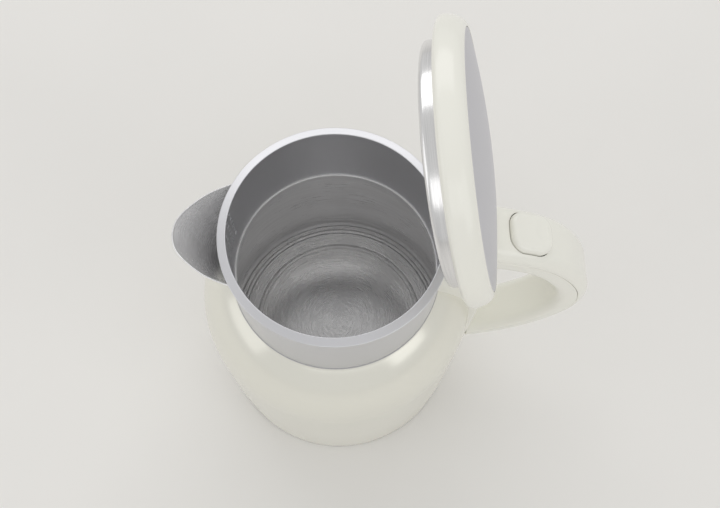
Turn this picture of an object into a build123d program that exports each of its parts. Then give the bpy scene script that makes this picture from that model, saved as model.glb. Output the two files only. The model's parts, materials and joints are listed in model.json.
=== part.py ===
from build123d import *
import os
from math import asin, atan2, cos, hypot, pi, radians, sin, sqrt

# Electric kettle, millimetres. The origin is the centre of the underside, on the worktop.
# +Z runs up the kettle's axis, the spout points along -X and the handle along +X.
# The lid is drawn closed, then turned about its hinge to the open position it is stored in.

# ---- driving dimensions -------------------------------------------------
rim_height = 218.5          # top of the rolled rim, at its outer edge
lip_radius = 60.0           # outer edge of the rolled rim
mouth_radius = lip_radius - 4.7         # inner edge of the rolled rim
collar_radius = lip_radius - 1.1        # outside of the steel collar
collar_wall = 1.2
collar_bottom = rim_height - 55.5
lip_rise = 1.0              # the lip climbs inwards by this much
lip_drop = 3.0              # depth of the rolled lip below the rim height

belly_radius = 82.0         # widest part of the painted body
base_radius = belly_radius - 1.0        # painted body at the worktop
belly_height = 60.0         # from here up to the shoulder the wall is upright
shoulder_height = rim_height - 100.5
shoulder_centre = belly_radius - 44.0   # radius about which the shoulder's ellipse is drawn
shoulder_rise = 52.4
shell_wall = 0.8
shell_foot = 0.6            # gap between the body's lower edge and the worktop
neck_gap = 0.45             # annular gap between collar and body, filled by the seal

pot_radius = belly_radius - 9.0         # inside of the steel pot
pot_wall = 0.9
pot_shoulder_rise = 47.3
pot_neck_top = rim_height - 52.5
pot_foot_radius = pot_radius - 1.3
floor_height = 46.9
floor_wall = 1.0
floor_disc_radius = pot_foot_radius - 17.2

foot_outer = base_radius - 9.0
foot_inner = foot_outer - 6.0
foot_thickness = 3.0
cover_bottom = 1.5
cover_wall = 2.5
socket_bore = 14.0
socket_wall = 3.0
socket_top = 15.0
socket_bottom = 3.0
contact_height = 12.0
diffuser_radius = floor_disc_radius - 4.5
diffuser_thickness = 4.0
element_radius = 36.0
element_tube = 3.5

spout_reach = lip_radius + 23.0          # from the axis to the tip of the spout
spout_half_width = 28.3     # where the spout's top edge meets the collar
spout_top = 1.2             # the spout's edge below the rim height
spout_depth = 50.0
spout_wall = 0.9

hinge_x = lip_radius + 14.45
hinge_rise = 5.6            # hinge pin above the rim height
open_angle = 75.6
pin_radius = 2.0
pin_clearance = 0.05
ring_radius = lip_radius + 1.2
ring_bottom = 1.5
ring_top = 13.3
ring_bore = lip_radius - 7.0
plate_radius = lip_radius - 5.2
plate_rise = 4.2
plate_wall = 0.8
plug_radius = lip_radius - 8.0
plug_depth = 6.6
plug_wall = 0.8

handle_width = 30.0
# Front face of the handle mount: clear of the body and of the hinge's ears.
mount_front = max(belly_radius + 4.0, hinge_x + 11.55)
lap_front = mount_front - 4.4           # the handle's shells lap over the mount to here
mount_foot = 166.0          # lower end of the mount, below the rim height
housing_wall = 2.4
shell_thickness = 2.4
button_length = 25.0
button_width = 22.0
button_gap = 0.45
button_travel = 3.0
tube_radius = 1.8

hinge_z = rim_height + hinge_rise
collar_inner = collar_radius - collar_wall
shoulder_reach = belly_radius - shoulder_centre
neck_radius = collar_radius + neck_gap


# ---- helpers ------------------------------------------------------------
def revolved(points):
    """A closed radius-height outline turned about the kettle's axis."""
    return revolve(Plane.XZ * make_face(Polyline(*points, close=True)), Axis.Z)


def revolved_edges(*edges):
    return revolve(Plane.XZ * make_face(edges), Axis.Z)


def tube(outer, inner, low, high):
    return revolved([(inner, low), (outer, low), (outer, high), (inner, high)])


def rod(radius, start, end):
    """A straight round bar between two points."""
    start, end = Vector(*start), Vector(*end)
    plane = Plane(origin=start, z_dir=end - start)
    return extrude(plane * Circle(radius), (end - start).length)


def block(low, high):
    size = [b - a for a, b in zip(low, high)]
    return Pos(*low) * Box(*size, align=(Align.MIN, Align.MIN, Align.MIN))


def side_profile(outline, half_width):
    """An outline in the handle's plane (x, z), given thickness across the handle."""
    return extrude(Plane.XZ * outline, half_width, both=True)


def below(points, depths):
    """The points of an open curve, each moved square to it by its own depth, to its right."""
    result = []
    for i, (x, z) in enumerate(points):
        ax, az = points[max(i - 1, 0)]
        bx, bz = points[min(i + 1, len(points) - 1)]
        length = hypot(bx - ax, bz - az)
        depth = depths[i]
        result.append((x + depth * (bz - az) / length, z - depth * (bx - ax) / length))
    return result


def shoulder_points(reach, rise, top_radius):
    """Points up an elliptical shoulder from its widest part to a given radius."""
    end = pi / 2 - asin((top_radius - shoulder_centre) / reach)
    steps = 6
    angles = [end * i / steps for i in range(steps + 1)]
    return [(shoulder_centre + reach * cos(a), shoulder_height + rise * sin(a)) for a in angles]


def shoulder_curve(points):
    return Spline(*points, tangents=[(0, 1), (-1, shoulder_slope)])


def body_outline(clearance):
    """The painted body's outer outline, grown outwards by a clearance, with the collar on top."""
    top = shoulder_points(shoulder_reach + clearance, shoulder_rise + clearance,
                          neck_radius + clearance)
    lip = rim_height - lip_drop - lip_clearance
    return [Polyline((0, 0), (base_radius + clearance, 0),
                     (belly_radius + clearance, belly_height), top[0]),
            shoulder_curve(top),
            Polyline(top[-1], (neck_radius + clearance, top[-1][1] + seal_proud),
                     (collar_radius + clearance, top[-1][1] + seal_proud),
                     (collar_radius + clearance, lip), (lip_radius + lip_clearance, lip),
                     (lip_radius + lip_clearance, rim_height + 60), (0, rim_height + 60), (0, 0))]


def body_envelope(clearance):
    return revolved_edges(*body_outline(clearance))


# ---- body ---------------------------------------------------------------
def outer_shell():
    outer = shoulder_points(shoulder_reach, shoulder_rise, neck_radius)
    inner = shoulder_points(shoulder_reach - shell_wall, shoulder_rise - shell_wall, neck_radius)
    inside = [(base_radius - shell_wall, shell_foot), (belly_radius - shell_wall, belly_height)]
    shell = revolved_edges(
        Polyline(*inside, inner[0]),
        shoulder_curve(inner),
        Polyline(inner[-1], outer[-1]),
        shoulder_curve(outer),
        Polyline(outer[0], (belly_radius, belly_height), (base_radius, shell_foot), inside[0]))
    shell -= steam_path(tube_radius + 0.5)
    for y, height in mount_screw_places():
        shell -= rod(screw_shank + 0.2, (70, y, height), (90, y, height))
    return shell


def neck_seal():
    top = shoulder_points(shoulder_reach, shoulder_rise, neck_radius)[-1][1]
    return tube(neck_radius, collar_radius, top - 3.0, top + seal_proud)


def collar():
    """The steel collar: a plain tube with a flat rolled lip that slopes up to the mouth."""
    low = rim_height - lip_drop
    body = revolved([(collar_inner, collar_bottom), (collar_radius, collar_bottom),
                     (collar_radius, low), (lip_radius, low + 1.0),
                     (lip_radius, rim_height - 0.3), (lip_radius - 0.4, rim_height),
                     (mouth_radius + 0.5, rim_height + lip_rise),
                     (mouth_radius, rim_height + lip_rise - 0.5),
                     (mouth_radius, rim_height - 0.9), (collar_inner, low)])
    for row in range(strainer_rows):
        for column in range(strainer_columns):
            azimuth = (column - (strainer_columns - 1) / 2) * strainer_step
            height = rim_height - strainer_top - row * strainer_pitch
            out = Vector(-cos(radians(azimuth)), sin(radians(azimuth)), 0)
            start = out * (collar_inner - 3) + Vector(0, 0, height)
            end = out * (collar_radius + 3) + Vector(0, 0, height)
            body -= rod(strainer_hole, start, end)
    return body - rod(tube_radius, (50, 0, steam_port), (65, 0, steam_port))


def spout_section(depth, inset):
    """One level section of the spout: two bowed sides that run out to a blunt nose."""
    share = depth / spout_depth
    half = spout_half_width * (1 - share) ** 0.75 + 4.0 * share - inset
    root = sqrt((collar_radius + 1) ** 2 - half ** 2)
    reach = (spout_reach - root) * (1 - share) ** 1.2 + 3.0 * share - inset
    side = [(-root - reach * along, half * across) for along, across in spout_shape]
    mirrored = [(x, -y) for x, y in side[::-1]]
    back = -root + 25
    outline = make_face([Polyline(side[0], (back, half), (back, -half), mirrored[-1]),
                         Spline(*side, (-root - reach, 0), *mirrored)])
    return Pos(0, 0, rim_height - spout_top - depth) * outline


def spout():
    """A steel trough: open at the top, closed below, welded to the collar."""
    levels = [0, 0.25, 0.5, 0.75, 1.0]
    outside = loft([spout_section(spout_depth * s, 0) for s in levels])
    inside = loft([spout_section(spout_depth * s, spout_wall) for s in levels[:-1]])
    mouth = extrude(spout_section(0, spout_wall), 5)
    trough = outside - inside - mouth
    return trough - body_fit


def inner_pot():
    """The pot: a neck inside the collar, a shoulder under the body's, and a rounded foot."""
    reach = pot_radius - shoulder_centre
    neck = collar_inner - pot_wall
    inside = shoulder_points(reach, pot_shoulder_rise, neck)
    outside = shoulder_points(reach + pot_wall, pot_shoulder_rise + pot_wall, collar_inner)
    low = floor_height - floor_wall
    return revolved_edges(
        Polyline(outside[0], (pot_radius + pot_wall, low + 14), (pot_foot_radius + pot_wall, low),
                 (pot_foot_radius, low), (pot_radius, low + 14), inside[0]),
        Spline(*inside, tangents=[(0, 1), (-1, 1.2)]),
        Polyline(inside[-1], (neck, pot_neck_top), (collar_inner, pot_neck_top), outside[-1]),
        Spline(*outside[::-1], tangents=[(1, -1.2), (0, -1)]))


def pot_floor():
    """The pot's floor: a flat heated disc, a groove round it and a raised, ridged margin."""
    r, z = floor_disc_radius, floor_height
    top = [(0, z), (r, z), (r + 0.8, z - 0.9), (r + 2.2, z - 0.9), (r + 3.2, z + 1.0),
           (r + 11, z + 1.4), (r + 12, z + 2.4), (r + 13.6, z + 2.4), (r + 14.4, z + 1.5),
           (pot_foot_radius, z + 1.6)]
    under = [(pot_foot_radius, z - floor_wall), (r + 2.4, z - floor_wall),
             (r + 2.2, z - floor_wall - 0.9), (r + 0.6, z - floor_wall - 0.9), (r - 0.2, z - floor_wall),
             (0, z - floor_wall)]
    return revolved(top + under)


def steam_path(radius):
    """The steam pipe's course: out of the collar, down the handle mount, then down the double wall."""
    line = FilletPolyline((collar_inner, 0, steam_port), (72, 0, steam_port),
                          (72, 0, shoulder_height + 33), (pipe_x, 0, shoulder_height + 2),
                          (pipe_x, 0, pipe_foot), radius=6)
    return sweep(Plane(origin=line @ 0, z_dir=line % 0) * Circle(radius), path=line)


def steam_pipe():
    bore = steam_path(tube_radius - 0.5)
    return steam_path(tube_radius) - bore


# ---- underside and heater -----------------------------------------------
def base_cover():
    """The moulded cover that closes the underside, with a skirt, a foot groove and bosses."""
    inside = base_radius - shell_wall
    cover = tube(inside, socket_bore + socket_wall, cover_bottom, cover_bottom + cover_wall)
    cover += tube(inside, inside - 2.0, cover_bottom, cover_bottom + 9)
    cover += tube(foot_outer + 1.5, foot_inner - 1.5, cover_bottom, foot_thickness + 2.5)
    cover -= tube(foot_outer, foot_inner, 0, foot_thickness)
    for x, y in cover_screw_places():
        cover += Pos(x, y, 0) * tube(4.0, screw_shank, cover_bottom, cover_bottom + 8)
        cover -= rod(screw_head + 0.3, (x, y, 0), (x, y, cover_bottom + 1.8))
        cover -= rod(screw_shank, (x, y, 0), (x, y, 20))
    return cover


def cover_screw_places():
    return [(52 * cos(a), 52 * sin(a)) for a in (pi / 3, pi, 5 * pi / 3)]


def foot_ring():
    return tube(foot_outer, foot_inner, 0, foot_thickness)


def pan_screw(head, shank, head_height, length):
    """A pan-head screw standing head down on the origin, with a cross recess."""
    screw = Cylinder(head, head_height, align=(Align.CENTER, Align.CENTER, Align.MIN))
    screw += Pos(0, 0, head_height) * Cylinder(shank, length,
                                               align=(Align.CENTER, Align.CENTER, Align.MIN))
    for turn in (0, 90):
        screw -= Rot(0, 0, turn) * Box(head * 1.1, 0.7, head_height)
    return screw


def cover_screws():
    screw = pan_screw(screw_head, screw_shank, 1.6, 11)
    return [Pos(x, y, cover_bottom + 0.2) * screw for x, y in cover_screw_places()]


def chassis():
    """The moulded ring that carries the control unit and takes the cover's screws."""
    low = cover_bottom + 8
    ring = tube(58, 24.5, low + 4, low + 6.5)
    ring += tube(58, 55, low + 4, low + 10)
    for x, y in cover_screw_places():
        ring += Pos(x, y, 0) * tube(4.0, screw_shank, low, low + 8)
        ring -= rod(screw_shank, (x, y, low), (x, y, low + 12))
    return ring


def coupler_socket():
    """The cordless inlet: an open bore in the underside with a contact carrier above it."""
    socket = tube(socket_bore + socket_wall, socket_bore, socket_bottom - 1.0, socket_top)
    socket += tube(socket_bore, 0, contact_height, socket_top)
    for contact in coupler_contacts():
        socket -= contact
    socket += tube(24.5, socket_bore + socket_wall, cover_bottom + cover_wall, cover_bottom + cover_wall + 2)
    return socket


def coupler_contacts():
    """Two concentric contact rings and the earth pin, flush in the end of the bore."""
    rings = [tube(10.5, 9.5, contact_height, contact_height + 1.5),
             tube(6.5, 5.5, contact_height, contact_height + 1.5),
             Pos(0, 0, contact_height) * Cylinder(1.6, 1.5, align=(Align.CENTER, Align.CENTER, Align.MIN))]
    return rings


def control_unit():
    """The thermostat body above the inlet, with the posts that press it to the heater plate."""
    unit = tube(22, 0, socket_top, socket_top + 9)
    unit += tube(24.5, 20, socket_top - 1.5, socket_top + 3)
    for turn in (45, 135, 225, 315):
        a = radians(turn)
        foot = (17 * cos(a), 17 * sin(a), socket_top + 9)
        unit += rod(2.2, foot, (foot[0], foot[1], diffuser_bottom))
    return unit


def snap_disc():
    """The bimetal disc that trips when the plate boils dry, held just under the plate."""
    return revolved([(0, diffuser_bottom - 0.9), (8, diffuser_bottom - 0.3),
                     (8, diffuser_bottom), (0, diffuser_bottom - 0.6)])


def thermal_fuse():
    return rod(2.4, (-6, 26, diffuser_bottom - 2.4), (8, 26, diffuser_bottom - 2.4))


def diffuser_plate():
    return Pos(0, 0, diffuser_bottom) * Cylinder(diffuser_radius, diffuser_thickness,
                                                 align=(Align.CENTER, Align.CENTER, Align.MIN))


def heating_element():
    """A tubular element bent most of the way round, brazed to the plate's underside."""
    section = Plane.XZ * (Pos(element_radius, diffuser_bottom - element_tube) * Circle(element_tube))
    turn = revolve(section, Axis.Z, element_sweep)
    return Rot(0, 0, (360 - element_sweep) / 2) * turn


def element_terminals():
    """Cold pins with push-on tabs, down from each end of the element."""
    pins = []
    for side in (-1, 1):
        angle = radians(side * ((360 - element_sweep) / 2 + 5))
        x, y = element_radius * cos(angle), element_radius * sin(angle)
        top = diffuser_bottom - 2 * element_tube
        pin = rod(1.5, (x, y, top - 8), (x, y, top))
        pin += Pos(x, y, top - 11) * Box(0.8, 6.3, 7)
        pins.append(pin)
    return pins


# ---- handle -------------------------------------------------------------
def rise(points):
    """Points given from the rim height, as heights above the worktop."""
    return [(x, rim_height + z) for x, z in points]


# The handle's crown, from the hinge housing round to the foot of the mount, and how thick
# the handle is behind each point. The shell's parting line lies at its own depth.
crown = [(mount_front + x, z) for x, z in [
    (-6, 3.1), (18, -7.0), (35, -19.5), (50, -40), (59, -62), (61.3, -82),
    (57, -102), (45.5, -124), (27, -144.5), (10, -156), (-7, -162.5)]]
thickness = [22, 21.5, 21, 20, 19, 18.5, 17, 16, 15.5, 15, 14.5]
parting = [8.5, 8.5, 8, 7, 6, 5.5, 5, 4.5, 4.5, 4.5, 4.5]


def handle_band(near, far, half_width):
    """The handle's solid between two depths below the crown."""
    outer = rise(below(crown, near))
    inner = rise(below(crown, far))
    outline = make_face([Spline(*outer), Line(outer[-1], inner[-1]), Spline(*inner[::-1]),
                         Line(inner[0], outer[0])])
    return side_profile(outline, half_width)


def handle_envelope():
    """The whole handle with its long edges rounded, cut square at the mount."""
    grown = handle_band([0] * len(crown), thickness, handle_width / 2)
    long_edges = [e for e in grown.edges() if e.geom_type == GeomType.BSPLINE]
    grown = fillet(long_edges, edge_round)
    return grown & (block((mount_front, -50, 0), (300, 50, 400)) + lap_block(lap_front))


def lap_block(front):
    """The space over the mount where the handle's shells reach on to the hinge housing."""
    return block((front, -50, rim_height - 60), (mount_front + 1, 50, rim_height + 40))


def handle_cavity():
    near = [shell_thickness] * len(crown)
    far = [t - shell_thickness for t in thickness]
    hollow = handle_band(near, far, handle_width / 2 - shell_thickness)
    long_edges = [e for e in hollow.edges() if e.geom_type == GeomType.BSPLINE]
    hollow = fillet(long_edges, edge_round - 1.8)
    return hollow & block((lap_front + shell_thickness, -50, 0), (300, 50, 400))


def outside_of_parting(gap):
    return handle_band([-20] * len(crown), [p + gap for p in parting], handle_width)


def button_plane():
    """The button's seat: its centre on the crown, with z along the crown's outward normal."""
    ax, az = crown[0]
    bx, bz = crown[1]
    slope = atan2(bz - az, bx - ax)
    centre = Vector(button_x, 0, rim_height + az + (button_x - ax) * (bz - az) / (bx - ax))
    return Plane(origin=centre, x_dir=(cos(slope), 0, sin(slope)), z_dir=(-sin(slope), 0, cos(slope)))


def button_outline(grow):
    return RectangleRounded(button_length + 2 * grow, button_width + 2 * grow, button_round + grow)


def screw_post(height):
    """The boss inside the outer shell that takes one handle screw."""
    inner = grip_face(height) + shell_thickness + post_gap
    post = rod(3.4, (inner, 0, height), (200, 0, height))
    return (post & handle_core) - rod(screw_shank, (inner - 9, 0, height), (grip_screw_end, 0, height))


def handle_outer():
    shell = (handle_whole - handle_hollow) & outside_of_parting(0)
    for height in grip_screw_heights:
        shell += screw_post(height)
    well = extrude(button_plane() * button_outline(button_gap), 12, both=True)
    return shell - well


def handle_grip():
    shell = (handle_whole - handle_hollow) - outside_of_parting(parting_gap)
    for height in grip_screw_heights:
        shell -= rod(screw_shank + 0.3, (button_x, 0, height), (mount_front + 74, 0, height))
        shell -= rod(screw_head + 0.3, (button_x, 0, height), (grip_face(height) + 1.4, 0, height))
    return shell - arm_slot(lap_front - 1, mount_front)


def grip_face(height):
    """Where the grip's inner face stands at one screw's height."""
    inner = rise(below(crown, thickness))
    for (ax, az), (bx, bz) in zip(inner, inner[1:]):
        if az >= height >= bz:
            return ax + (bx - ax) * (height - az) / (bz - az)
    return inner[0][0]


def grip_screws():
    screws = []
    for height in grip_screw_heights:
        x = grip_face(height) + 1.4
        screws.append(rod(screw_head, (x - 1.5, 0, height), (x, 0, height))
                      + rod(screw_shank, (x, 0, height), (grip_screw_end, 0, height)))
    return screws


def arm_slot(start, end):
    """The slot that the latch arm passes through, with room for the button's travel."""
    low, high = rim_height + arm_top - arm_thickness, rim_height + arm_top
    return block((start, -arm_half - 0.6, low - button_travel - 1.0), (end, arm_half + 0.6, high + 1.0))


def ear_outline():
    """One hinge ear: a round eye on a broad root."""
    eye = Pos(hinge_x, hinge_z) * Circle(ear_radius)
    front = lap_front - parting_gap
    root = Polyline((hinge_x - ear_radius, hinge_z), (hinge_x - ear_radius - 1.5, housing_top - 4),
                    (front, housing_top - 4), (front, crown_start),
                    (hinge_x + 4.2, hinge_z + 4.9), close=True)
    return eye + make_face(root)


def handle_mount():
    """The moulding on the body that carries the handle, houses the hinge and hides the pipe."""
    half = handle_width / 2
    foot = rim_height - mount_foot
    outline = make_face(Polyline((50, housing_top), (hinge_x - ear_radius, housing_top),
                                 (mount_front, crown_start), (mount_front, foot + 4),
                                 (mount_front - 3, foot), (50, foot), close=True))
    mount = side_profile(outline, half)
    mount = fillet(mount.edges().filter_by(Axis.Z).sort_by(Axis.X)[-2:], 2.0)
    mount += side_profile(ear_outline(), half)
    mount -= block((60, -ear_gap, housing_top), (mount_front + 1, ear_gap, hinge_z + 20))
    mount -= rod(knuckle_radius + 0.6, (hinge_x, -ear_gap, hinge_z), (hinge_x, ear_gap, hinge_z))
    mount -= rod(catch_radius + 0.7, (hinge_x, -catch_half - 0.6, hinge_z),
                 (hinge_x, catch_half + 0.6, hinge_z))
    mount -= body_fit
    cavity = block((58, -half + housing_wall, rim_height - 92),
                   (mount_front - housing_wall, half - housing_wall, housing_top - housing_wall))
    mount -= cavity - body_envelope(housing_wall)
    mount -= rod(pin_radius, (hinge_x, -half - 1, hinge_z), (hinge_x, half + 1, hinge_z))
    mount -= steam_path(tube_radius + 0.4)
    mount -= arm_slot(mount_front - housing_wall - 1, mount_front + 1)
    lapped = handle_band([-20] * len(crown), [t + parting_gap for t in thickness], handle_width)
    mount -= lapped & lap_block(lap_front - parting_gap)
    mount -= block((50, -bracket_half, bracket_low), (bracket_front, bracket_half, bracket_high))
    mount -= block((tooth_x - 1.8, -catch_half - 0.6, housing_top - 5),
                   (hinge_x, catch_half + 0.6, housing_top + 1))
    for y, height in mount_screw_places():
        mount -= rod(screw_shank + 0.2, (70, y, height), (90, y, height))
        mount -= rod(screw_head + 0.3, (mount_front - 1.8, y, height), (90, y, height))
    for side in (-1, 1):
        mount -= rod(screw_shank, (bracket_front - 1, side * 7, bracket_screw), (66, side * 7, bracket_screw))
    return mount


def mount_screws():
    screws = []
    for y, height in mount_screw_places():
        screws.append(rod(screw_head, (mount_front - 1.8, y, height), (mount_front - 0.2, y, height))
                      + rod(screw_shank, (pot_radius + 4.0, y, height), (mount_front - 1.8, y, height)))
    return screws


def mount_nuts():
    nuts = []
    for y, height in mount_screw_places():
        nut = rod(3.0, (pot_radius + 4.2, y, height), (belly_radius, y, height))
        nut = nut & body_envelope(-shell_wall)
        nuts.append(nut - rod(screw_shank, (60, y, height), (90, y, height)))
    return nuts


def mount_screw_places():
    return [(side * mount_screw_offset, height) for height in mount_screw_heights for side in (-1, 1)]


def collar_bracket():
    """A steel plate spot-welded to the collar, which the mount's upper screws pull against."""
    plate = block((50, -bracket_half, bracket_low), (bracket_front, bracket_half, bracket_high))
    plate -= Pos(0, 0, rim_height / 2) * Cylinder(collar_radius, rim_height + 20)
    plate -= steam_path(tube_radius + 0.4)
    for side in (-1, 1):
        plate -= rod(screw_shank, (50, side * 7, bracket_screw), (70, side * 7, bracket_screw))
    return plate


def bracket_screws():
    screws = []
    back = collar_radius + housing_wall
    for side in (-1, 1):
        y = side * 7
        screws.append(rod(screw_head, (back + 0.4, y, bracket_screw), (back + 2.0, y, bracket_screw))
                      + rod(screw_shank, (bracket_front - 1.2, y, bracket_screw),
                            (back + 0.4, y, bracket_screw)))
    return screws


def hinge_pin():
    half = handle_width / 2
    return rod(pin_radius, (hinge_x, -half + 0.5, hinge_z), (hinge_x, half - 0.5, hinge_z))


def coil(radius, wire, pitch, turns):
    """A close helical spring standing on the origin along Z."""
    path = Helix(pitch=pitch, height=pitch * turns, radius=radius)
    return sweep(Plane(origin=path @ 0, z_dir=path % 0) * Circle(wire), path=path)


def hinge_springs():
    springs = []
    for side in (-1, 1):
        spring = coil(3.1, 0.45, 1.0, 3)
        springs.append(Pos(hinge_x, side * (knuckle_half + 2.3), hinge_z) * Rot(90, 0, 0)
                       * Pos(0, 0, -1.5) * spring)
    return springs


# ---- lid release --------------------------------------------------------
def release_button():
    """The raised pad on the handle: a rounded block with a thumb hollow near its outer end."""
    seat = button_plane()
    pad = extrude(button_outline(0), button_proud + button_skirt)
    pad = Pos(0, 0, -button_skirt) * pad
    top_edges = pad.edges().group_by(Axis.Z)[-1]
    pad = fillet(top_edges, 2.6)
    hollow = Pos(6.5, 1.5, button_proud + 17.2) * Sphere(18.0)
    pad -= hollow & block((0, -8, 0), (20, 9, 20))
    recess = extrude(RectangleRounded(button_length - 5, button_width - 5, button_round - 2.5),
                     button_skirt + button_proud - 2.6)
    pad -= Pos(0, 0, -button_skirt) * recess
    pad += Pos(0, 0, -button_skirt) * Cylinder(1.6, button_skirt + 2,
                                               align=(Align.CENTER, Align.CENTER, Align.MIN))
    return seat * pad


def latch_arm():
    """The arm under the button that reaches through the mount to the lid's catch."""
    high = rim_height + arm_top
    arm = block((tooth_x, -arm_half, high - arm_thickness), (button_x - 8.5, arm_half, high))
    arm += block((tooth_x, -catch_half, high - 1), (tooth_x + 3, catch_half, tooth_top))
    stem = extrude(button_plane() * (Pos(-8.6, 0) * Rectangle(2.2, 2 * arm_half)), 14, both=True)
    stem = stem & block((0, -50, high - arm_thickness), (300, 50, 400))
    stem -= button_plane() * block((-50, -50, button_proud - 2.6), (50, 50, 60))
    return arm + stem


def button_spring():
    """The return spring between the button's post and the grip."""
    seat = button_plane()
    return seat * Pos(0, 0, -spring_depth) * coil(3.2, 0.4, spring_pitch, spring_turns)


# ---- lid, drawn closed --------------------------------------------------
def opened(shape):
    return shape.rotate(Axis((hinge_x, 0, hinge_z), (0, 1, 0)), open_angle)


def lid_ring():
    """The moulded ring round the lid with its hinge knuckle and the catch it carries."""
    low, high = rim_height + ring_bottom, rim_height + ring_top
    widest = rim_height + ring_bottom + 2.6
    ring = revolved_edges(
        Polyline((ring_bore, low), (ring_radius - 2.0, low)),
        ThreePointArc((ring_radius - 2.0, low), (ring_radius - 0.5, low + 0.9), (ring_radius, widest)),
        Spline((ring_radius, widest), (ring_radius - 1.9, widest + 4.6), (plate_radius + 0.2, high),
               tangents=[(0, 1), (-1, 0.12)]),
        Polyline((plate_radius + 0.2, high), (plate_radius + 0.2, high - 1.9),
                 (ring_bore, high - 1.9), (ring_bore, low)))
    tab = block((ring_radius - 4, -knuckle_half, low + 0.6),
                (hinge_x, knuckle_half, hinge_z + knuckle_radius - 0.9))
    knuckle = rod(knuckle_radius, (hinge_x, -knuckle_half, hinge_z), (hinge_x, knuckle_half, hinge_z))
    bore = rod(pin_radius + pin_clearance, (hinge_x, -20, hinge_z), (hinge_x, 20, hinge_z))
    slot = block((hinge_x - 1.5, -catch_half, hinge_z - knuckle_radius - 1),
                 (hinge_x + 1.5, catch_half, hinge_z - pin_radius - 0.6))
    return ring + tab + knuckle - bore - slot


def lid_catch():
    """The steel striker let into the knuckle: it points down while the lid is closed."""
    return block((hinge_x - 1.5, -catch_half, hinge_z - catch_radius),
                 (hinge_x + 1.5, catch_half, hinge_z - pin_radius - 0.6))


def domed_cap(radius, edge, skirt):
    """A solid disc with a domed top, centred on the axis."""
    crest = edge + plate_rise
    return revolved_edges(ThreePointArc((-radius, edge), (0, crest), (radius, edge)).trim(0.5, 1),
                          Polyline((radius, edge), (radius, edge - skirt), (0, edge - skirt), (0, crest)))


def lid_plate():
    """The domed steel plate on top of the lid, turned down at its edge."""
    edge = rim_height + ring_top - 0.2
    skirt = 1.7
    return (domed_cap(plate_radius, edge, skirt)
            - domed_cap(plate_radius - plate_wall, edge - plate_wall, skirt))


def lid_core():
    """The moulded carrier inside the lid: a ribbed dish that the plate and the plug fasten to."""
    low = rim_height + ring_bottom + 3.0
    seat = rim_height + ring_top - 1.9
    core = tube(ring_bore, 0, low, low + 1.8) + tube(ring_bore, ring_bore - 1.8, low, seat)
    for turn in range(6):
        core += Rot(0, 0, 60 * turn + 30) * block((8, -0.8, low + 1.8), (ring_bore - 1.8, 0.8, low + 4.2))
    for x, y in lid_screw_places():
        core -= rod(screw_shank + 0.2, (x, y, low - 5), (x, y, low + 9))
    return core


def lid_screw_places():
    return [(38 * cos(a), 38 * sin(a)) for a in (pi / 4, 3 * pi / 4, 5 * pi / 4, 7 * pi / 4)]


def lid_screws():
    low = rim_height + ring_bottom + 3.0
    screw = pan_screw(screw_head, screw_shank, 1.6, 9)
    return [Pos(x, y, low + 3.4) * Rot(180, 0, 0) * screw for x, y in lid_screw_places()]


def lid_plug():
    """The steel plug under the lid: a shallow dish that drops into the mouth."""
    top = rim_height + ring_bottom + 3.0
    low = rim_height + ring_bottom - plug_depth
    r = plug_radius
    dish = revolved([(0, low), (r - 1.6, low), (r - 0.5, low + 0.5), (r, low + 1.6), (r, top - plug_wall),
                     (ring_bore, top - plug_wall), (ring_bore, top), (r - plug_wall, top),
                     (r - plug_wall, low + 1.8), (r - 1.8, low + plug_wall), (0, low + plug_wall)])
    for x, y in lid_screw_places():
        dish += Pos(x, y, 0) * tube(3.2, screw_shank, low + plug_wall, top)
    return dish


def lid_seal():
    """The thin soft ring that closes the joint between the plug and the lid ring."""
    low = rim_height + ring_bottom
    return revolved([(plug_radius, low - 0.6), (plug_radius + 0.6, low - 0.5), (plug_radius + 0.9, low),
                     (ring_bore, low), (ring_bore, low + 2.2), (plug_radius, low + 2.2)])


# ---- derived places -----------------------------------------------------
shoulder_slope = 0.62
seal_proud = 0.5
lip_clearance = 0.2
spout_shape = [(0, 1), (0.39, 0.82), (0.73, 0.55), (0.93, 0.3)]
screw_shank = 1.5
screw_head = 2.8
strainer_rows = 6
strainer_columns = 7
strainer_step = 5.0
strainer_pitch = 5.2
strainer_top = 12.0
strainer_hole = 1.2
pipe_x = (pot_radius + pot_wall + belly_radius - shell_wall) / 2
pipe_foot = 30.0
steam_port = rim_height - 20
element_sweep = 290
diffuser_bottom = floor_height - floor_wall - diffuser_thickness
edge_round = 6.5
parting_gap = 0.25
post_gap = 1.2
ear_radius = 6.4
ear_gap = 10.6
knuckle_radius = 4.6
knuckle_half = 6.0
catch_radius = 8.4
catch_half = 2.4
housing_top = rim_height - 1.5
# The crown's height where the shells' front edge meets the mount.
crown_start = rim_height + crown[0][1] + (lap_front - crown[0][0]) * (crown[1][1] - crown[0][1]) / (
    crown[1][0] - crown[0][0])
button_x = mount_front + 15.0
button_round = 8.0
button_proud = 3.4
button_skirt = 5.0
spring_depth = 17.0
spring_pitch = 2.6
spring_turns = 5
arm_top = -13.0
arm_thickness = 2.0
arm_half = 3.0
tooth_x = hinge_x - 5.2
tooth_top = hinge_z - catch_radius - 0.8
bracket_half = 10.0
bracket_low = rim_height - 46
bracket_high = rim_height - 10
bracket_front = collar_radius + 1.5
bracket_screw = rim_height - 36
grip_screw_heights = [rim_height - 50, rim_height - 64]
grip_screw_end = mount_front + 50.0
mount_screw_offset = 8.5
mount_screw_heights = [rim_height - 116, rim_height - 148]

# Shared solids that several pieces are cut from.
body_fit = body_envelope(0)
handle_core = handle_band([1.0] * len(crown), [t - 1.0 for t in thickness], handle_width / 2)
handle_whole = handle_envelope()
handle_hollow = handle_cavity()

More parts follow.
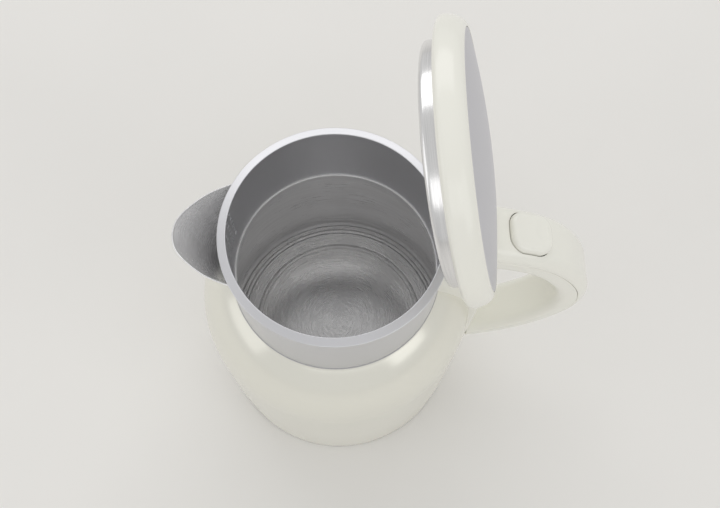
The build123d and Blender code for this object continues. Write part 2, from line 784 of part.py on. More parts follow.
nodes = {
    "outer_shell": outer_shell(),
    "neck_seal": neck_seal(),
    "collar": collar(),
    "spout": spout(),
    "inner_pot": inner_pot(),
    "pot_floor": pot_floor(),
    "steam_pipe": steam_pipe(),
    "base_cover": base_cover(),
    "foot_ring": foot_ring(),
    "cover_screws": cover_screws(),
    "chassis": chassis(),
    "coupler_socket": coupler_socket(),
    "coupler_contacts": coupler_contacts(),
    "control_unit": control_unit(),
    "snap_disc": snap_disc(),
    "thermal_fuse": thermal_fuse(),
    "diffuser_plate": diffuser_plate(),
    "heating_element": heating_element(),
    "element_terminals": element_terminals(),
    "handle_outer": handle_outer(),
    "handle_grip": handle_grip(),
    "grip_screws": grip_screws(),
    "handle_mount": handle_mount(),
    "mount_screws": mount_screws(),
    "mount_nuts": mount_nuts(),
    "collar_bracket": collar_bracket(),
    "bracket_screws": bracket_screws(),
    "hinge_pin": hinge_pin(),
    "hinge_springs": hinge_springs(),
    "release_button": release_button(),
    "latch_arm": latch_arm(),
    "button_spring": button_spring(),
    "lid_ring": opened(lid_ring()),
    "lid_catch": opened(lid_catch()),
    "lid_plate": opened(lid_plate()),
    "lid_core": opened(lid_core()),
    "lid_screws": [opened(s) for s in lid_screws()],
    "lid_plug": opened(lid_plug()),
    "lid_seal": opened(lid_seal()),
}

os.makedirs("parts", exist_ok=True)
for name, shape in nodes.items():
    solids = shape if isinstance(shape, list) else [shape]
    export_step(Compound(children=[s for piece in solids for s in piece.solids()]), f"parts/{name}.step")
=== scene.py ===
import json
from math import acos, asin, atan2, ceil, cos, pi, radians, sin, sqrt, tan
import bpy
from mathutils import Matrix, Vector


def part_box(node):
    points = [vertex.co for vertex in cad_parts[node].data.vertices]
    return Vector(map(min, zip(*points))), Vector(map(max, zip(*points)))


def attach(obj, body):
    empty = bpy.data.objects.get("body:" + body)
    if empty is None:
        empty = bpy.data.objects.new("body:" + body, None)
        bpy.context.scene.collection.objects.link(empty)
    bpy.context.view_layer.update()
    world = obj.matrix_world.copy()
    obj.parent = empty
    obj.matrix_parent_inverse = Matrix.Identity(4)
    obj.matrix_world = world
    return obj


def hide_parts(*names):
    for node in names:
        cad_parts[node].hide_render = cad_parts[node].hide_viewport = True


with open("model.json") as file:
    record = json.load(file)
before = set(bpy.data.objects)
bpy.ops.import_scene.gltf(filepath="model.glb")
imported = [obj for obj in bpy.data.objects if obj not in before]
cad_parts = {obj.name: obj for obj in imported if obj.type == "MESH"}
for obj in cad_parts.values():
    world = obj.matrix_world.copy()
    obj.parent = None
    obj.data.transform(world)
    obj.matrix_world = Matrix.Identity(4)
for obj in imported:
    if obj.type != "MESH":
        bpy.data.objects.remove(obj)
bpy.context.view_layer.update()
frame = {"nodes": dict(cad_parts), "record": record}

from types import SimpleNamespace

import bmesh
import bpy
import numpy as np
from bpy.props import FloatProperty, FloatVectorProperty, PointerProperty
from mathutils import Matrix, Vector

bl_info = {
    "name": "Electric kettle",
    "version": (1, 0, 0),
    "blender": (4, 5, 0),
    "location": "3D View > Sidebar > Kettle",
    "description": "Builds the shown pieces, finishes and studio stage of an electric kettle",
    "category": "Add Mesh",
}

MM = 0.001
COLLAR_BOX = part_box("collar")
BODY_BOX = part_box("outer_shell")
POT_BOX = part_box("inner_pot")
SPOUT_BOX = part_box("spout")
PIN_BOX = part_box("hinge_pin")
SEGMENTS = 224

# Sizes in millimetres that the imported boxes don't give.
LIP_RISE = 1.0         # the rolled lip climbs inwards by this much
LIP_DROP = 3.0         # underside of the lip below the rim height
COLLAR_WALL = 1.2
NECK_GAP = 0.45        # between the collar and the painted body
SHELL_FOOT = 0.6       # painted edge above the worktop
POT_RISE = 47.3        # half height of the pot's shoulder
POT_FOOT = 1.3         # the pot's foot is narrower than its wall by this much
FLOOR_WALL = 1.0
SPOUT_WALL = 0.9
SPOUT_DROP = 1.2       # the spout's edge below the rim height
LID_LOW, LID_HIGH = 1.5, 13.3    # underside and top edge of the lid ring above the rim
LID_OVERHANG = 1.2     # the ring stands out past the lip by this much
LID_BORE, PLATE_RADIUS, PLUG_RADIUS = 53.0, 54.8, 52.0
PLATE_RISE, PLUG_DEPTH, LID_SHEET = 4.2, 6.6, 0.8
LID_OPEN = 75.6
PIN_BORE, EYE_RADIUS, EYE_HALF = 2.05, 4.6, 6.0
BUTTON_X, BUTTON_LONG, BUTTON_WIDE, BUTTON_CORNER = 101.0, 25.0, 22.0, 8.0
BUTTON_GAP = 0.45
GRIP_SCREWS = (-50, -64)         # heights above the rim
SCREW_SINK = 1.4       # the grip screws' heads seat this deep
MOUNT_SCREWS = (116, 148)        # depths below the rim
BASE_SCREW_RING, LID_SCREW_RING = 52, 38


# ---- sizes, colours and stage settings ------------------------------------
def length(name, description, default):
    return FloatProperty(name=name, description=description, default=default,
                         unit="LENGTH", subtype="DISTANCE", precision=4)


def angle(name, description, degrees):
    return FloatProperty(name=name, description=description, default=radians(degrees), subtype="ANGLE")


def level(name, description, default):
    return FloatProperty(name=name, description=description, default=default, min=0)


def colour(name, description, default):
    return FloatVectorProperty(name=name, description=description, default=default,
                               subtype="COLOR", size=3, min=0, max=1)


class KettleSizes(bpy.types.PropertyGroup):
    """The kettle's main sizes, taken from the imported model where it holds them"""
    rim_height: length("Rim height", "Top of the rolled rim above the worktop",
                       COLLAR_BOX[1][2] - LIP_RISE * MM)
    lip_radius: length("Lip radius", "Outer edge of the rolled rim", COLLAR_BOX[1][0])
    mouth_radius: length("Mouth radius", "Inner edge of the rolled rim", 0.0553)
    collar_radius: length("Collar radius", "Outside of the steel collar", 0.0589)
    collar_bottom: length("Collar foot", "Lower edge of the collar", COLLAR_BOX[0][2])
    belly_radius: length("Belly radius", "Widest part of the painted body", BODY_BOX[1][0])
    base_radius: length("Base radius", "Painted body at the worktop", 0.081)
    belly_height: length("Belly height", "Where the painted wall turns upright", 0.060)
    shoulder_height: length("Shoulder height", "Where the painted shoulder begins", 0.118)
    shoulder_centre: length("Shoulder centre", "Radius about which the shoulder curves", 0.038)
    shoulder_rise: length("Shoulder rise", "Half height of the shoulder's ellipse", 0.0524)
    shell_wall: length("Shell wall", "Thickness of the painted steel", 0.0008)
    pot_radius: length("Pot radius", "Inside of the steel pot", POT_BOX[1][0] - 0.0009)
    pot_wall: length("Pot wall", "Thickness of the pot", 0.0009)
    floor_height: length("Floor height", "Inside floor above the worktop", 0.0469)
    disc_radius: length("Disc radius", "Flat heated disc in the pot's floor", 0.0545)
    spout_reach: length("Spout reach", "Tip of the spout from the axis", -SPOUT_BOX[0][0])
    spout_half_width: length("Spout half width", "Where the spout's edge meets the collar", SPOUT_BOX[1][1])
    spout_depth: length("Spout depth", "Height of the spout", 0.050)
    hinge_x: length("Hinge place", "Hinge pin from the kettle's axis", (PIN_BOX[0][0] + PIN_BOX[1][0]) / 2)
    hinge_z: length("Hinge height", "Hinge pin above the worktop", (PIN_BOX[0][2] + PIN_BOX[1][2]) / 2)
    handle_width: length("Handle width", "Width of the handle", 0.030)
    mount_front: length("Mount front", "Front face of the handle mount from the axis", 0.086)


class KettleColours(bpy.types.PropertyGroup):
    """The colours of the kettle's finishes"""
    enamel: colour("Enamel", "Painted body", (0.755, 0.740, 0.625))
    enamel_shade: colour("Enamel shade", "Slightly deeper enamel in the clouding", (0.725, 0.708, 0.590))
    plastic: colour("Plastic", "Lid ring and handle", (0.80, 0.785, 0.68))
    steel: colour("Steel", "Collar, spout and pot", (0.86, 0.855, 0.85))
    steel_shade: colour("Steel shade", "Deeper strokes in the brushing", (0.72, 0.715, 0.715))
    satin: colour("Satin steel", "Domed plate on the lid", (0.50, 0.50, 0.53))
    silicone: colour("Silicone", "Seals and foot", (0.15, 0.15, 0.148))
    dark: colour("Dark plastic", "Inner mouldings", (0.028, 0.028, 0.030))
    floor: colour("Worktop", "Plain pale worktop", (0.80, 0.785, 0.755))


class KettleStage(bpy.types.PropertyGroup):
    """Camera and lights"""
    camera_place: FloatVectorProperty(name="Camera place", description="Where the camera stands",
                                      default=(0.00698, -0.15308, 0.60679), size=3, subtype="XYZ",
                                      unit="LENGTH")
    camera_azimuth: angle("Azimuth", "Turn of the view from +Y towards +X", 2.352)
    camera_pitch: angle("Pitch", "How far the view looks down", 70.03)
    camera_roll: angle("Roll", "Lean of the camera", 1.676)
    lens: FloatProperty(name="Lens", description="Focal length in millimetres on a 36 mm sensor",
                        default=41.0, min=10, max=200)
    top_power: level("Top light", "Power of the large soft light overhead, watts", 5.5)
    side_power: level("Side light", "Power of each side panel, watts", 2.0)
    world_level: level("Room light", "Level of the even light all round", 0.64)


def sizes(context):
    """The kettle's sizes in millimetres."""
    group = context.scene.kettle_sizes
    return SimpleNamespace(**{name: getattr(group, name) / MM for name in KettleSizes.__annotations__})


# ---- shader maths ---------------------------------------------------------
class Wire:
    """A node's output. Python's operators on it add Math nodes."""

    def __init__(self, finish, socket):
        self.finish = finish
        self.socket = socket

    def math(self, operation, *others):
        return self.finish.node("ShaderNodeMath", {"operation": operation},
                                dict(enumerate((self,) + others)))

    def __add__(self, other):
        return self.math("ADD", other)

    def __mul__(self, other):
        return self.math("MULTIPLY", other)

    def __sub__(self, other):
        return self.math("SUBTRACT", other)

    def __truediv__(self, other):
        return self.math("DIVIDE", other)

    def __rsub__(self, other):
        return self.finish.node("ShaderNodeMath", {"operation": "SUBTRACT"}, {0: other, 1: self})

    def __rtruediv__(self, other):
        return self.finish.node("ShaderNodeMath", {"operation": "DIVIDE"}, {0: other, 1: self})

    __radd__ = __add__
    __rmul__ = __mul__


class Maker:
    """Adds nodes to a tree."""

    def node(self, kind, settings=None, values=None, output=0):
        """Adds a node, with its settings first and then its sockets, and returns one output."""
        node = self.tree.nodes.new(kind)
        for name, value in (settings or {}).items():
            setattr(node, name, value)
        for name, value in (values or {}).items():
            if isinstance(value, Wire):
                self.tree.links.new(value.socket, node.inputs[name])
            else:
                node.inputs[name].default_value = value
        return Wire(self, node.outputs[output])

    def parts(self, vector):
        """The three numbers of a vector."""
        outputs = self.node("ShaderNodeSeparateXYZ", None, {0: vector}).socket.node.outputs
        return [Wire(self, outputs[i]) for i in range(3)]

    def joined(self, x, y, z):
        return self.node("ShaderNodeCombineXYZ", None, {0: x, 1: y, 2: z})


class Finish(Maker):
    """A procedural material under construction."""

    def __init__(self, name):
        self.material = bpy.data.materials.new(name)
        self.material.use_nodes = True
        self.tree = self.material.node_tree
        self.tree.nodes.clear()

    def place(self, centre=(0, 0, 0), turn=(0, 0, 0)):
        """Object coordinates in millimetres about a centre, in axes that may be turned."""
        coords = self.node("ShaderNodeTexCoord", None, None, "Object")
        return self.node("ShaderNodeMapping", {"vector_type": "TEXTURE"},
                         {"Vector": coords, "Location": centre, "Rotation": turn,
                          "Scale": (MM, MM, MM)})

    def noise(self, vector, scale, detail, w=None):
        values = {"Vector": vector, "Scale": scale, "Detail": detail}
        if w is None:
            return self.node("ShaderNodeTexNoise", None, values)
        return self.node("ShaderNodeTexNoise", {"noise_dimensions": "4D"}, {**values, "W": w})

    def between(self, factor, low, high, start=0.0, end=1.0):
        """A value taken from one range to another, kept inside it."""
        return self.node("ShaderNodeMapRange", {"clamp": True},
                         {"Value": factor, "From Min": low, "From Max": high,
                          "To Min": start, "To Max": end})

    def tint(self, factor, first, second):
        """A colour between two colours."""
        first, second = [c if isinstance(c, Wire) else (*c, 1) for c in (first, second)]
        return self.node("ShaderNodeMix", {"data_type": "RGBA"}, {0: factor, 6: first, 7: second}, 2)

    def bump(self, height, distance, strength=1.0):
        return self.node("ShaderNodeBump", None,
                         {"Height": height, "Distance": distance, "Strength": strength})

    def surface(self, **values):
        """Ends the material in one Principled surface."""
        named = {name.replace("_", " ").title().replace("Ior", "IOR"): value
                 for name, value in values.items()}
        for name, value in named.items():
            if isinstance(value, tuple) and len(value) == 3:
                named[name] = (*value, 1)
        shader = self.node("ShaderNodeBsdfPrincipled", None, named)
        output = self.tree.nodes.new("ShaderNodeOutputMaterial")
        self.tree.links.new(shader.socket, output.inputs["Surface"])
        return self.material


def round_about(finish, centre=(0, 0, 0), turn=(0, 0, 0)):
    """Distance from an axis, height along it and the unit vector out from it."""
    x, y, z = finish.parts(finish.place(centre, turn))
    radius = (x * x + y * y + 0.01).math("SQRT")
    return radius, z, x / radius, y / radius


def strokes(finish, about, fine, sweep, detail=3.0):
    """Brush strokes that run round an axis: fine across the strokes and long round it."""
    radius, height, across, along = about
    return finish.noise(finish.joined(radius * fine, across * sweep, along * sweep), 1.0, detail,
                        w=height * fine)


# ---- geometry trees -------------------------------------------------------
class Pattern(Maker):
    """A Geometry Nodes tree with named inputs."""

    def __init__(self, name):
        self.tree = bpy.data.node_groups.new(name, "GeometryNodeTree")
        self.tree.interface.new_socket("Geometry", in_out="INPUT", socket_type="NodeSocketGeometry")
        self.tree.interface.new_socket("Geometry", in_out="OUTPUT", socket_type="NodeSocketGeometry")
        self.entry = self.tree.nodes.new("NodeGroupInput")

    def input(self, name, kind, default=None):
        socket = self.tree.interface.new_socket(name, in_out="INPUT", socket_type="NodeSocket" + kind)
        if default is not None:
            socket.default_value = default
        return Wire(self, self.entry.outputs[name])

    def length(self, name, default):
        return self.input(name, "Float", default * MM)

    def geometry(self):
        return Wire(self, self.entry.outputs["Geometry"])

    def cut(self, solid, tool):
        return self.node("GeometryNodeMeshBoolean", {"operation": "DIFFERENCE", "solver": "EXACT"},
                         {"Mesh 1": solid, "Mesh 2": tool})

    def close(self, geometry):
        """Ends the tree in real geometry that carries its finish."""
        solid = self.node("GeometryNodeRealizeInstances", None, {0: geometry})
        shown = self.node("GeometryNodeSetMaterial", None,
                          {"Geometry": solid, "Material": self.input("Finish", "Material")})
        exit_node = self.tree.nodes.new("NodeGroupOutput")
        self.tree.links.new(shown.socket, exit_node.inputs[0])
        return self


def baked(piece):
    """Turns what a piece's modifiers make into its own plain mesh."""
    graph = bpy.context.evaluated_depsgraph_get()
    mesh = bpy.data.meshes.new_from_object(piece.evaluated_get(graph), depsgraph=graph)
    piece.modifiers.clear()
    piece.data = mesh
    return piece


def grown(piece, pattern, **values):
    """A piece put through a pattern, whose inputs are given by name with _ for spaces."""
    modifier = piece.modifiers.new(pattern.tree.name, "NODES")
    modifier.node_group = pattern.tree
    named = {name.replace("_", " "): value for name, value in values.items()}
    for item in pattern.tree.interface.items_tree:
        if item.in_out == "INPUT" and item.name in named:
            modifier[item.identifier] = named.pop(item.name)
    if named:
        raise ValueError(f"the pattern has no input {sorted(named)}")
    return baked(piece)


def strainer_pattern():
    """Rows of round holes through the collar behind the spout."""
    pattern = Pattern("Strainer")
    rows = pattern.input("Rows", "Int", 6)
    columns = pattern.input("Columns", "Int", 7)
    step = pattern.input("Step", "Float", radians(5.0))
    pitch = pattern.length("Pitch", 5.2)
    hole = pattern.length("Hole Radius", 1.2)
    out = pattern.length("Collar Radius", 58.3)
    top = pattern.length("Top Row Height", 206.5)
    index = pattern.node("GeometryNodeInputIndex")
    row = (index / columns + 0.001).math("FLOOR")
    column = index - row * columns
    angle = (column - (columns - 1.0) * 0.5) * step
    back, side = angle.math("COSINE") * -1.0, angle.math("SINE")
    outward = pattern.joined(back, side, 0.0)
    place = pattern.joined(back * out, side * out, top - row * pitch)
    points = pattern.node("GeometryNodePoints", None, {"Count": rows * columns, "Position": place})
    cutter = pattern.node("GeometryNodeMeshCylinder", None,
                          {"Vertices": 28, "Radius": hole, "Depth": 8 * MM})
    turn = pattern.node("FunctionNodeAlignRotationToVector", {"axis": "Z"}, {"Vector": outward})
    cutters = pattern.node("GeometryNodeInstanceOnPoints", None,
                           {"Points": points, "Instance": cutter, "Rotation": turn})
    solid = pattern.node("GeometryNodeRealizeInstances", None, {0: cutters})
    return pattern.close(pattern.cut(pattern.geometry(), solid))


def screw_pattern():
    """A pan-head screw with a cross recess on each point, its head's face on the point."""
    pattern = Pattern("Screws")
    head = pattern.length("Head Radius", 2.8)
    tall = pattern.length("Head Height", 1.6)
    shank = pattern.length("Shank Radius", 1.5)
    long = pattern.length("Shank Length", 9.0)
    recess = pattern.length("Recess Width", 0.8)
    outward = pattern.input("Direction", "Vector", (0, 0, 1))

    def moved(geometry, z):
        return pattern.node("GeometryNodeTransform", None,
                            {"Geometry": geometry, "Translation": pattern.joined(0.0, 0.0, z)})

    cap = moved(pattern.node("GeometryNodeMeshCylinder", None,
                             {"Vertices": 40, "Fill Segments": 6, "Radius": head, "Depth": tall}),
                tall * -0.5)
    x, y, z = pattern.parts(pattern.node("GeometryNodeInputPosition"))
    share = (x * x + y * y) / (head * head)
    face = z.math("GREATER_THAN", tall * -0.5)
    domed = pattern.node("GeometryNodeSetPosition", None,
                         {"Geometry": cap, "Selection": face,
                          "Offset": pattern.joined(0.0, 0.0, share * share * tall * -0.35)})
    bar = pattern.node("GeometryNodeMeshCube", None,
                       {"Size": pattern.joined(head * 1.15, recess, tall)})
    cross = pattern.node("GeometryNodeTransform", None, {"Geometry": bar, "Rotation": (0, 0, pi / 2)})
    cut = pattern.cut(pattern.cut(domed, bar), cross)
    stem = moved(pattern.node("GeometryNodeMeshCylinder", None,
                              {"Vertices": 20, "Radius": shank, "Depth": long}),
                 (tall + long * 0.5) * -1.0)
    whole = pattern.node("GeometryNodeJoinGeometry", None, {"Geometry": cut})
    pattern.tree.links.new(stem.socket, whole.socket.node.inputs[0])
    turn = pattern.node("FunctionNodeAlignRotationToVector", {"axis": "Z"}, {"Vector": outward})
    screws = pattern.node("GeometryNodeInstanceOnPoints", None,
                          {"Points": pattern.geometry(), "Instance": whole, "Rotation": turn})
    return pattern.close(screws)


# ---- mesh building --------------------------------------------------------
def mesh_piece(name, points, faces):
    """A mesh object from points in millimetres."""
    mesh = bpy.data.meshes.new(name)
    mesh.from_pydata([Vector(p) * MM for p in points], [], faces)
    work = bmesh.new()
    work.from_mesh(mesh)
    bmesh.ops.remove_doubles(work, verts=work.verts, dist=0.002 * MM)
    bmesh.ops.dissolve_degenerate(work, dist=0.0005 * MM, edges=work.edges)
    bmesh.ops.recalc_face_normals(work, faces=work.faces)
    work.to_mesh(mesh)
    work.free()
    piece = bpy.data.objects.new(name, mesh)
    bpy.context.scene.collection.objects.link(piece)
    return piece


def softened(corners, closed=True):
    """A flat outline whose (x, y, round) corners are rounded, with a holding point each side."""
    result = []
    for i, (x, y, size) in enumerate(corners):
        here = Vector((x, y))
        at_end = not closed and i in (0, len(corners) - 1)
        if at_end or not size:
            result.append((x, y))
            continue
        back = Vector(corners[i - 1][:2]) - here
        ahead = Vector(corners[(i + 1) % len(corners)][:2]) - here
        turn = pi - back.angle(ahead)
        if turn < radians(3):
            result.append((x, y))
            continue
        reach = min(size * tan(turn / 2), 0.45 * back.length, 0.45 * ahead.length)
        radius = reach / tan(turn / 2)
        centre = here + (back.normalized() + ahead.normalized()).normalized() * radius / cos(turn / 2)
        first, last = here + back.normalized() * reach, here + ahead.normalized() * reach
        start = atan2(*(first - centre).yx)
        sweep = (atan2(*(last - centre).yx) - start + pi) % (2 * pi) - pi
        steps = max(3, ceil(abs(sweep) / radians(15)))
        if reach * 1.3 < 0.5 * back.length:
            result.append(tuple(here + back.normalized() * reach * 1.3))
        for k in range(steps + 1):
            angle = start + sweep * k / steps
            result.append((centre.x + radius * cos(angle), centre.y + radius * sin(angle)))
        if reach * 1.3 < 0.5 * ahead.length:
            result.append(tuple(here + ahead.normalized() * reach * 1.3))
    return result


def turned(name, outline, closed=True, segments=SEGMENTS, frame_matrix=None):
    """A (radius, height) outline turned about the kettle's axis; an open one starts and ends on it."""
    points, rings = [], []
    for radius, height in outline:
        if radius < 0.001:
            rings.append([len(points)] * segments)
            points.append(Vector((0, 0, height)))
        else:
            rings.append(list(range(len(points), len(points) + segments)))
            points += [Vector((radius * cos(2 * pi * k / segments), radius * sin(2 * pi * k / segments),
                               height)) for k in range(segments)]
    faces = []
    pairs = list(zip(rings, rings[1:] + (rings[:1] if closed else [])))
    for lower, upper in pairs[:len(rings) if closed else len(rings) - 1]:
        for k in range(segments):
            j = (k + 1) % segments
            corners = [lower[k], lower[j], upper[j], upper[k]]
            face = list(dict.fromkeys(corners))
            if len(face) > 2:
                faces.append(face)
    if frame_matrix is not None:
        points = [frame_matrix @ p for p in points]
    return mesh_piece(name, points, faces)


def skin(name, loops):
    """Closed loops of equal length joined one to the next, with both ends filled."""
    count = len(loops[0])
    points = [p for loop in loops for p in loop]
    faces = [list(range(count)), list(range(len(points) - count, len(points)))]
    for row in range(len(loops) - 1):
        for k in range(count):
            j = (k + 1) % count
            a, b = row * count, (row + 1) * count
            faces.append([a + k, a + j, b + j, b + k])
    return mesh_piece(name, points, faces)


def curve_through(knots, count):
    """Even samples of the smooth curve through rows of numbers; its run is measured on two columns."""
    rows = np.array(knots, float)
    run = np.concatenate([[0], np.cumsum(np.linalg.norm(np.diff(rows[:, :2], axis=0), axis=1))])
    size = len(rows)
    left, right = np.eye(size), np.zeros_like(rows)
    for i in range(1, size - 1):
        before, after = run[i] - run[i - 1], run[i + 1] - run[i]
        left[i, i - 1:i + 2] = before, 2 * (before + after), after
        right[i] = 6 * ((rows[i + 1] - rows[i]) / after - (rows[i] - rows[i - 1]) / before)
    bend = np.linalg.solve(left, right)
    result = []
    for s in np.linspace(0, run[-1], count):
        i = min(np.searchsorted(run, s, side="right") - 1, size - 2)
        span = run[i + 1] - run[i]
        a, b = (run[i + 1] - s) / span, (s - run[i]) / span
        result.append(a * rows[i] + b * rows[i + 1]
                      + ((a ** 3 - a) * bend[i] + (b ** 3 - b) * bend[i + 1]) * span ** 2 / 6)
    return result


def carved(piece, *cutters):
    """A piece with the cutters taken away from it."""
    for cutter in cutters:
        modifier = piece.modifiers.new("Carve", "BOOLEAN")
        modifier.operation = "DIFFERENCE"
        modifier.solver = "EXACT"
        modifier.object = cutter
    baked(piece)
    for cutter in cutters:
        bpy.data.objects.remove(cutter)
    return piece


def settle(piece, body, slot, *nodes, sharp=35):
    """Gives a finished piece its finish, its smooth faces, its body and the nodes it stands for."""
    piece.data.materials.clear()
    piece.data.materials.append(bpy.data.materials[slot])
    piece.data.shade_smooth()
    piece.data.set_sharp_from_angle(angle=radians(sharp))
    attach(piece, body)
    if nodes:
        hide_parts(*nodes)
    return piece


def round_bar(name, radius, start, end, edge=0.3, steps=48):
    """A round bar between two places, its ends' edges softened."""
    start, end = Vector(start), Vector(end)
    long = (end - start).length
    outline = softened([(0, 0, 0), (radius, 0, edge), (radius, long, edge), (0, long, 0)], closed=False)
    turn = (end - start).to_track_quat("Z", "Y").to_matrix().to_4x4()
    return turned(name, outline, closed=False, segments=steps,
                  frame_matrix=Matrix.Translation(start) @ turn)


def ellipse_shoulder(size, grow, top_radius, steps=40):
    """The painted shoulder from its widest part up to a radius, grown outwards by an amount."""
    reach = size.belly_radius - size.shoulder_centre + grow
    end = pi / 2 - asin((top_radius - size.shoulder_centre) / reach)
    return [(size.shoulder_centre + reach * cos(end * k / steps),
             size.shoulder_height + (size.shoulder_rise + grow) * sin(end * k / steps))
            for k in range(steps + 1)]


def plain(points):
    return [(x, y, 0) for x, y in points]


# ---- finishes -------------------------------------------------------------
def enamel_finish(colours):
    """Gloss paint on steel: faint clouding, orange peel and painted shade near the worktop, where the paint
    is also a little rougher.
    """
    finish = Finish("cream_enamel")
    place = finish.place()
    cloud = finish.noise(place, 0.018, 3)
    x, y, height = finish.parts(place)
    # Painted shade: the enamel darkens over its lowest few millimetres, standing in for the shadow where
    # the body meets the worktop; the same mask also makes the paint there a little rougher
    worktop_shade = finish.between(height + finish.noise(place, 0.25, 4) * 6.0, 1.0, 9.0, 1.0, 0.0)
    base = finish.tint(finish.between(cloud, 0.35, 0.65), colours.enamel, colours.enamel_shade)
    peel = finish.noise(place, 0.55, 2)
    fine = finish.noise(place, 2.2, 1)
    return finish.surface(
        # painted shade near the worktop, tinting towards a deeper enamel
        base_color=finish.tint(worktop_shade * 0.25, base, tuple(c * 0.8 for c in colours.enamel_shade)),
        roughness=finish.between(cloud + fine * 0.2, 0.4, 0.8, 0.25, 0.34) + worktop_shade * 0.15,
        coat_weight=0.7, coat_roughness=0.06, coat_ior=1.5,
        normal=finish.bump(peel + fine * 0.15, 0.04 * MM))


def plastic_finish(name, base, rough):
    """Moulded gloss plastic: faint flow marks and a very fine skin."""
    finish = Finish(name)
    place = finish.place()
    cloud = finish.noise(place, 0.03, 3)
    skin_grain = finish.noise(place, 1.6, 3)
    deeper = tuple(c * s for c, s in zip(base, (0.965, 0.962, 0.95)))
    return finish.surface(
        base_color=finish.tint(finish.between(cloud, 0.35, 0.65), base, deeper),
        roughness=finish.between(cloud + skin_grain * 0.4, 0.4, 1.0, rough - 0.03, rough + 0.06),
        coat_weight=0.35, coat_roughness=0.12,
        normal=finish.bump(skin_grain, 0.02 * MM, 0.6))


def brushed_finish(name, light, deep, rough, anisotropic, centre=(0, 0, 0), turn=(0, 0, 0),
                   fine=3.2, depth=0.012, metallic=0.85):
    """Steel brushed round an axis, with fine strokes in its shade, gloss and surface."""
    finish = Finish(name)
    about = round_about(finish, centre, turn)
    hair = strokes(finish, about, fine, 3.0)
    band = strokes(finish, about, fine * 0.22, 0.8, 2)
    cloud = finish.noise(finish.place(centre, turn), 0.05, 2)
    mixed = finish.between(hair * 0.7 + band * 0.3, 0.36, 0.66)
    return finish.surface(
        base_color=finish.tint(mixed, deep, light),
        metallic=metallic,
        roughness=finish.between(hair * 0.6 + cloud * 0.4, 0.3, 0.7, rough + 0.06, rough - 0.05),
        anisotropic=anisotropic,
        normal=finish.bump(hair, depth * MM, 0.8))


def grained_finish(name, base, rough, metallic=0.0, scale=1.2, depth=0.03, spread=0.1):
    """A fine grained surface in one colour, for mouldings, rubber and small metal parts."""
    finish = Finish(name)
    place = finish.place()
    cloud = finish.noise(place, 0.08, 3)
    grain = finish.noise(place, scale, 3)
    deeper = tuple(c * (1 - spread * 1.6) for c in base)
    return finish.surface(
        base_color=finish.tint(finish.between(cloud * 0.6 + grain * 0.4, 0.35, 0.65), base, deeper),
        metallic=metallic,
        roughness=finish.between(grain, 0.3, 0.7, rough - spread * 0.5, rough + spread * 0.5),
        normal=finish.bump(grain, depth * MM, 0.7))


def floor_finish(colours):
    """A plain pale worktop with the faintest mottling."""
    finish = Finish("worktop")
    place = finish.place()
    cloud = finish.noise(place, 0.004, 4)
    deeper = tuple(c * 0.97 for c in colours.floor)
    return finish.surface(
        base_color=finish.tint(finish.between(cloud, 0.3, 0.7), tuple(colours.floor), deeper),
        roughness=0.55,
        normal=finish.bump(finish.noise(place, 0.8, 2), 0.01 * MM, 0.4))


# ---- operators ------------------------------------------------------------
class KETTLE_OT_finishes(bpy.types.Operator):
    """Build every finish: enamel, plastics, brushed steels, rubber and metals"""
    bl_idname = "kettle.finishes"
    bl_label = "Finishes"

    def execute(self, context):
        group = context.scene.kettle_colours
        colours = SimpleNamespace(**{name: tuple(getattr(group, name))
                                     for name in KettleColours.__annotations__})
        centre, turn = lid_frame(context)
        enamel_finish(colours)
        plastic_finish("cream_plastic", colours.plastic, 0.26)
        brushed_finish("brushed_steel", colours.steel, colours.steel_shade, 0.27, 0.55)
        brushed_finish("pot_steel", colours.steel, colours.steel_shade, 0.30, 0.6, fine=2.2, metallic=0.6)
        brushed_finish("disc_steel", colours.steel, colours.steel_shade, 0.27, 0.8, fine=1.6, depth=0.02)
        brushed_finish("plug_steel", colours.steel, colours.steel_shade, 0.2, 0.0,
                       centre, turn, depth=0.008)
        brushed_finish("satin_steel", colours.satin, tuple(c * 0.92 for c in colours.satin), 0.3, 0.0,
                       centre, turn, depth=0.006)
        brushed_finish("spout_steel", colours.steel, colours.steel_shade, 0.26, 0.0, fine=1.2, depth=0.003,
                       metallic=0.4)
        grained_finish("grey_silicone", colours.silicone, 0.55, scale=0.9, depth=0.04)
        grained_finish("grey_plastic", (0.62, 0.61, 0.545), 0.5, scale=0.9, depth=0.05)
        grained_finish("black_plastic", colours.dark, 0.45, scale=0.9, depth=0.05)
        grained_finish("contact_brass", (0.76, 0.60, 0.30), 0.3, 1.0, 1.5, 0.01)
        grained_finish("aluminium_plate", (0.74, 0.74, 0.76), 0.42, 1.0, 0.9, 0.03)
        grained_finish("dull_steel", (0.44, 0.44, 0.45), 0.45, 1.0, 1.1, 0.02)
        grained_finish("fastener_steel", (0.60, 0.60, 0.62), 0.3, 1.0, 1.6, 0.01)
        floor_finish(colours)
        return {"FINISHED"}


def lid_frame(context):
    """Centre (m) and turn of the lid's own axis as it stands open."""
    size = sizes(context)
    lean = radians(LID_OPEN)
    centre = ((size.hinge_x - size.hinge_x * cos(lean)) * MM, 0,
              (size.hinge_z + size.hinge_x * sin(lean)) * MM)
    return centre, (0, lean, 0)


def opened(size):
    """The move from the closed lid to the open one, in millimetres."""
    hinge = Vector((size.hinge_x, 0, size.hinge_z))
    return (Matrix.Translation(hinge) @ Matrix.Rotation(radians(LID_OPEN), 4, "Y")
            @ Matrix.Translation(-hinge))


